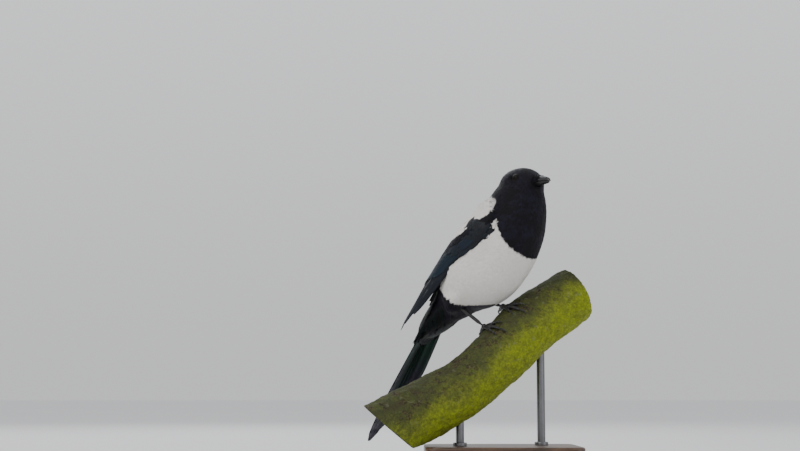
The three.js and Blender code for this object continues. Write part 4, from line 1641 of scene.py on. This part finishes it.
class MAGPIE_OT_stand(bpy.types.Operator):
    """Hardwood base and the two steel rods that hold the branch"""

    bl_idname = "magpie.stand"
    bl_label = "Stand"

    def execute(self, context):
        self.base()
        steel = steel_material("stand_steel")
        for which in ("low", "high"):
            self.rod(which, steel)
        return {"FINISHED"}

    def base(self):
        """A block with rounded corners and eased upper and lower edges."""
        low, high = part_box("stand_base")
        size, middle = high - low, (high + low) / 2
        corner = 0.014
        clear_selection()
        bpy.ops.mesh.primitive_cube_add(size=1, location=middle, scale=size)
        base = added("stand_plinth")

        def upright(edge):
            a, b = (v.co for v in edge.verts)
            return abs(a.z - b.z) > size.z * 0.5

        def on_rim(edge):
            ends = [v.co for v in edge.verts]
            gaps = [[size[k] / 2 - abs(c[k] - middle[k]) for k in range(2)] for c in ends]
            level = abs(ends[0].z - ends[1].z) < 1e-6
            turning = sum(abs(face.normal.z) for face in edge.link_faces) < 1.5
            return level and turning and all(min(gap) < corner + 0.0001 for gap in gaps)

        with editing(base):
            select_where(base, upright, kind="EDGE")
            bpy.ops.mesh.bevel(offset=corner, segments=10)
            select_where(base, lambda face: face.normal.z > 0.9, kind="FACE")
            bpy.ops.mesh.inset(thickness=0.0045)
        with editing(base):
            select_where(base, on_rim, kind="EDGE")
            bpy.ops.mesh.bevel(offset=0.0026, segments=4)
            bpy.ops.mesh.select_all(action="SELECT")
            bpy.ops.mesh.normals_make_consistent(inside=False)
        finished(base, wood_material("base_hardwood"), "stand_wood", "stand_base", angle=STAND_CREASE)

    def rod(self, which, steel):
        """A rod cut to the branch, in a rounded collar on the base."""
        node = "stand_rod_" + which
        low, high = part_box(node)
        middle, radius = (low + high) / 2, (high.x - low.x) / 2
        clear_selection()
        bpy.ops.mesh.primitive_cylinder_add(
            vertices=40, radius=radius, depth=high.z - low.z, location=middle, end_fill_type="NGON"
        )
        shaft = added("rod_" + which)
        with editing(shaft):
            select_where(shaft, lambda face: face.normal.z < -0.9, kind="FACE")
            bpy.ops.mesh.inset(thickness=radius * 0.02)
        self.cut_to_branch(shaft, low.z, middle.z)
        clear_selection()
        bpy.ops.mesh.primitive_cylinder_add(
            vertices=40, radius=radius * 1.7, depth=0.004, location=(middle.x, middle.y, low.z + 0.002)
        )
        collar = added("collar_" + which)
        with editing(collar):
            select_where(collar, lambda face: face.normal.z > 0.9, kind="FACE")
            bpy.ops.mesh.bevel(offset=0.0012, segments=4)
        finished(shaft, steel, "stand_steel", node, angle=STAND_CREASE)
        finished(collar, steel, "stand_steel", angle=STAND_CREASE)

    def cut_to_branch(self, rod, foot, middle):
        """Lowers the rod's upper end onto the underside of the branch."""
        tree = node_tree("perch_branch")
        co = places(rod)
        for place in co:
            if place[2] > middle:
                hit = tree.ray_cast(Vector((place[0], place[1], foot)), Vector((0, 0, 1)), 1.0)[0]
                place[2] = hit.z + 0.0006 if hit else place[2]
        set_places(rod, co)


# Stage


class MAGPIE_OT_stage(bpy.types.Operator):
    """Pale floor, soft lights and the camera"""

    bl_idname = "magpie.stage"
    bl_label = "Stage"

    def execute(self, context):
        stage = context.scene.magpie_stage
        clear_selection()
        bpy.ops.mesh.primitive_circle_add(vertices=96, radius=40, fill_type="NGON", location=(0, 0, -0.0003))
        floor = added("floor")
        floor.data.materials.append(floor_material("stage_floor"))
        world = bpy.data.worlds.new("studio")
        world.use_nodes = True
        nodes = Nodes(world.node_tree)
        sky = world.node_tree.nodes["Background"]
        height = nodes.band(nodes.split(nodes.add("TexCoord", out="Generated"))["Z"], 0.0, 0.4)
        seen = nodes.add("LightPath", out="Is Camera Ray")
        finish(
            nodes, sky, Color=nodes.mix(height, (0.66, 0.667, 0.674), (0.93, 0.945, 0.97)),
            Strength=nodes.blend(seen, 0.8, 1.05),
        )
        context.scene.world = world
        aim = Vector((-0.02, 0, 0.27))
        for name, place, size, power, tint in (
            ("key", (-1.3, -1.5, 1.9), 1.5, stage.key, (1.0, 0.985, 0.96)),
            ("fill", (1.9, -1.4, 0.9), 1.8, stage.key * 0.30, (0.95, 0.97, 1.0)),
            ("rim", (-0.6, 2.0, 1.9), 1.4, stage.key * 0.7, (0.96, 0.98, 1.0)),
        ):
            bpy.ops.object.light_add(type="AREA", location=place)
            lamp = context.object
            lamp.name = lamp.data.name = name
            lamp.data.shape, lamp.data.size = "DISK", size
            lamp.data.energy, lamp.data.color = power, tint
            lamp.rotation_euler = (aim - Vector(place)).to_track_quat("-Z", "Y").to_euler()
        bpy.ops.object.camera_add(
            location=(-0.125, -1.73695, stage.height), rotation=(math.pi / 2 + stage.pitch, 0, 0)
        )
        camera = context.object
        camera.name = "camera"
        camera.data.lens, camera.data.sensor_width = stage.lens, 36
        camera.data.clip_start, camera.data.clip_end = 0.05, 200
        context.scene.camera = camera
        return {"FINISHED"}


class MAGPIE_PT_panel(bpy.types.Panel):
    bl_idname = "MAGPIE_PT_panel"
    bl_label = "Perched magpie"
    bl_space_type = "VIEW_3D"
    bl_region_type = "UI"
    bl_category = "Magpie"

    def draw(self, context):
        for operator in OPERATORS:
            self.layout.operator(operator.bl_idname)
        for name in SETTINGS:
            group = getattr(context.scene, name)
            box = self.layout.box()
            box.label(text=name.replace("_", " ").capitalize())
            for key in group.__annotations__:
                box.prop(group, key)


OPERATORS = [
    MAGPIE_OT_skin,
    MAGPIE_OT_coat,
    MAGPIE_OT_wings,
    MAGPIE_OT_tail,
    MAGPIE_OT_bill,
    MAGPIE_OT_eyes,
    MAGPIE_OT_feet,
    MAGPIE_OT_perch,
    MAGPIE_OT_stand,
    MAGPIE_OT_stage,
]


def register():
    for item in [*SETTINGS.values(), *OPERATORS, MAGPIE_PT_panel]:
        bpy.utils.register_class(item)
    for name, group in SETTINGS.items():
        setattr(bpy.types.Scene, name, PointerProperty(type=group))


def unregister():
    for name in SETTINGS:
        delattr(bpy.types.Scene, name)
    for item in reversed([*SETTINGS.values(), *OPERATORS, MAGPIE_PT_panel]):
        bpy.utils.unregister_class(item)


def main():
    register()
    make_groups()
    for operator in OPERATORS:
        group, name = operator.bl_idname.split(".")
        getattr(getattr(bpy.ops, group), name)()
    clear_selection()


if __name__ == "__main__":
    main()
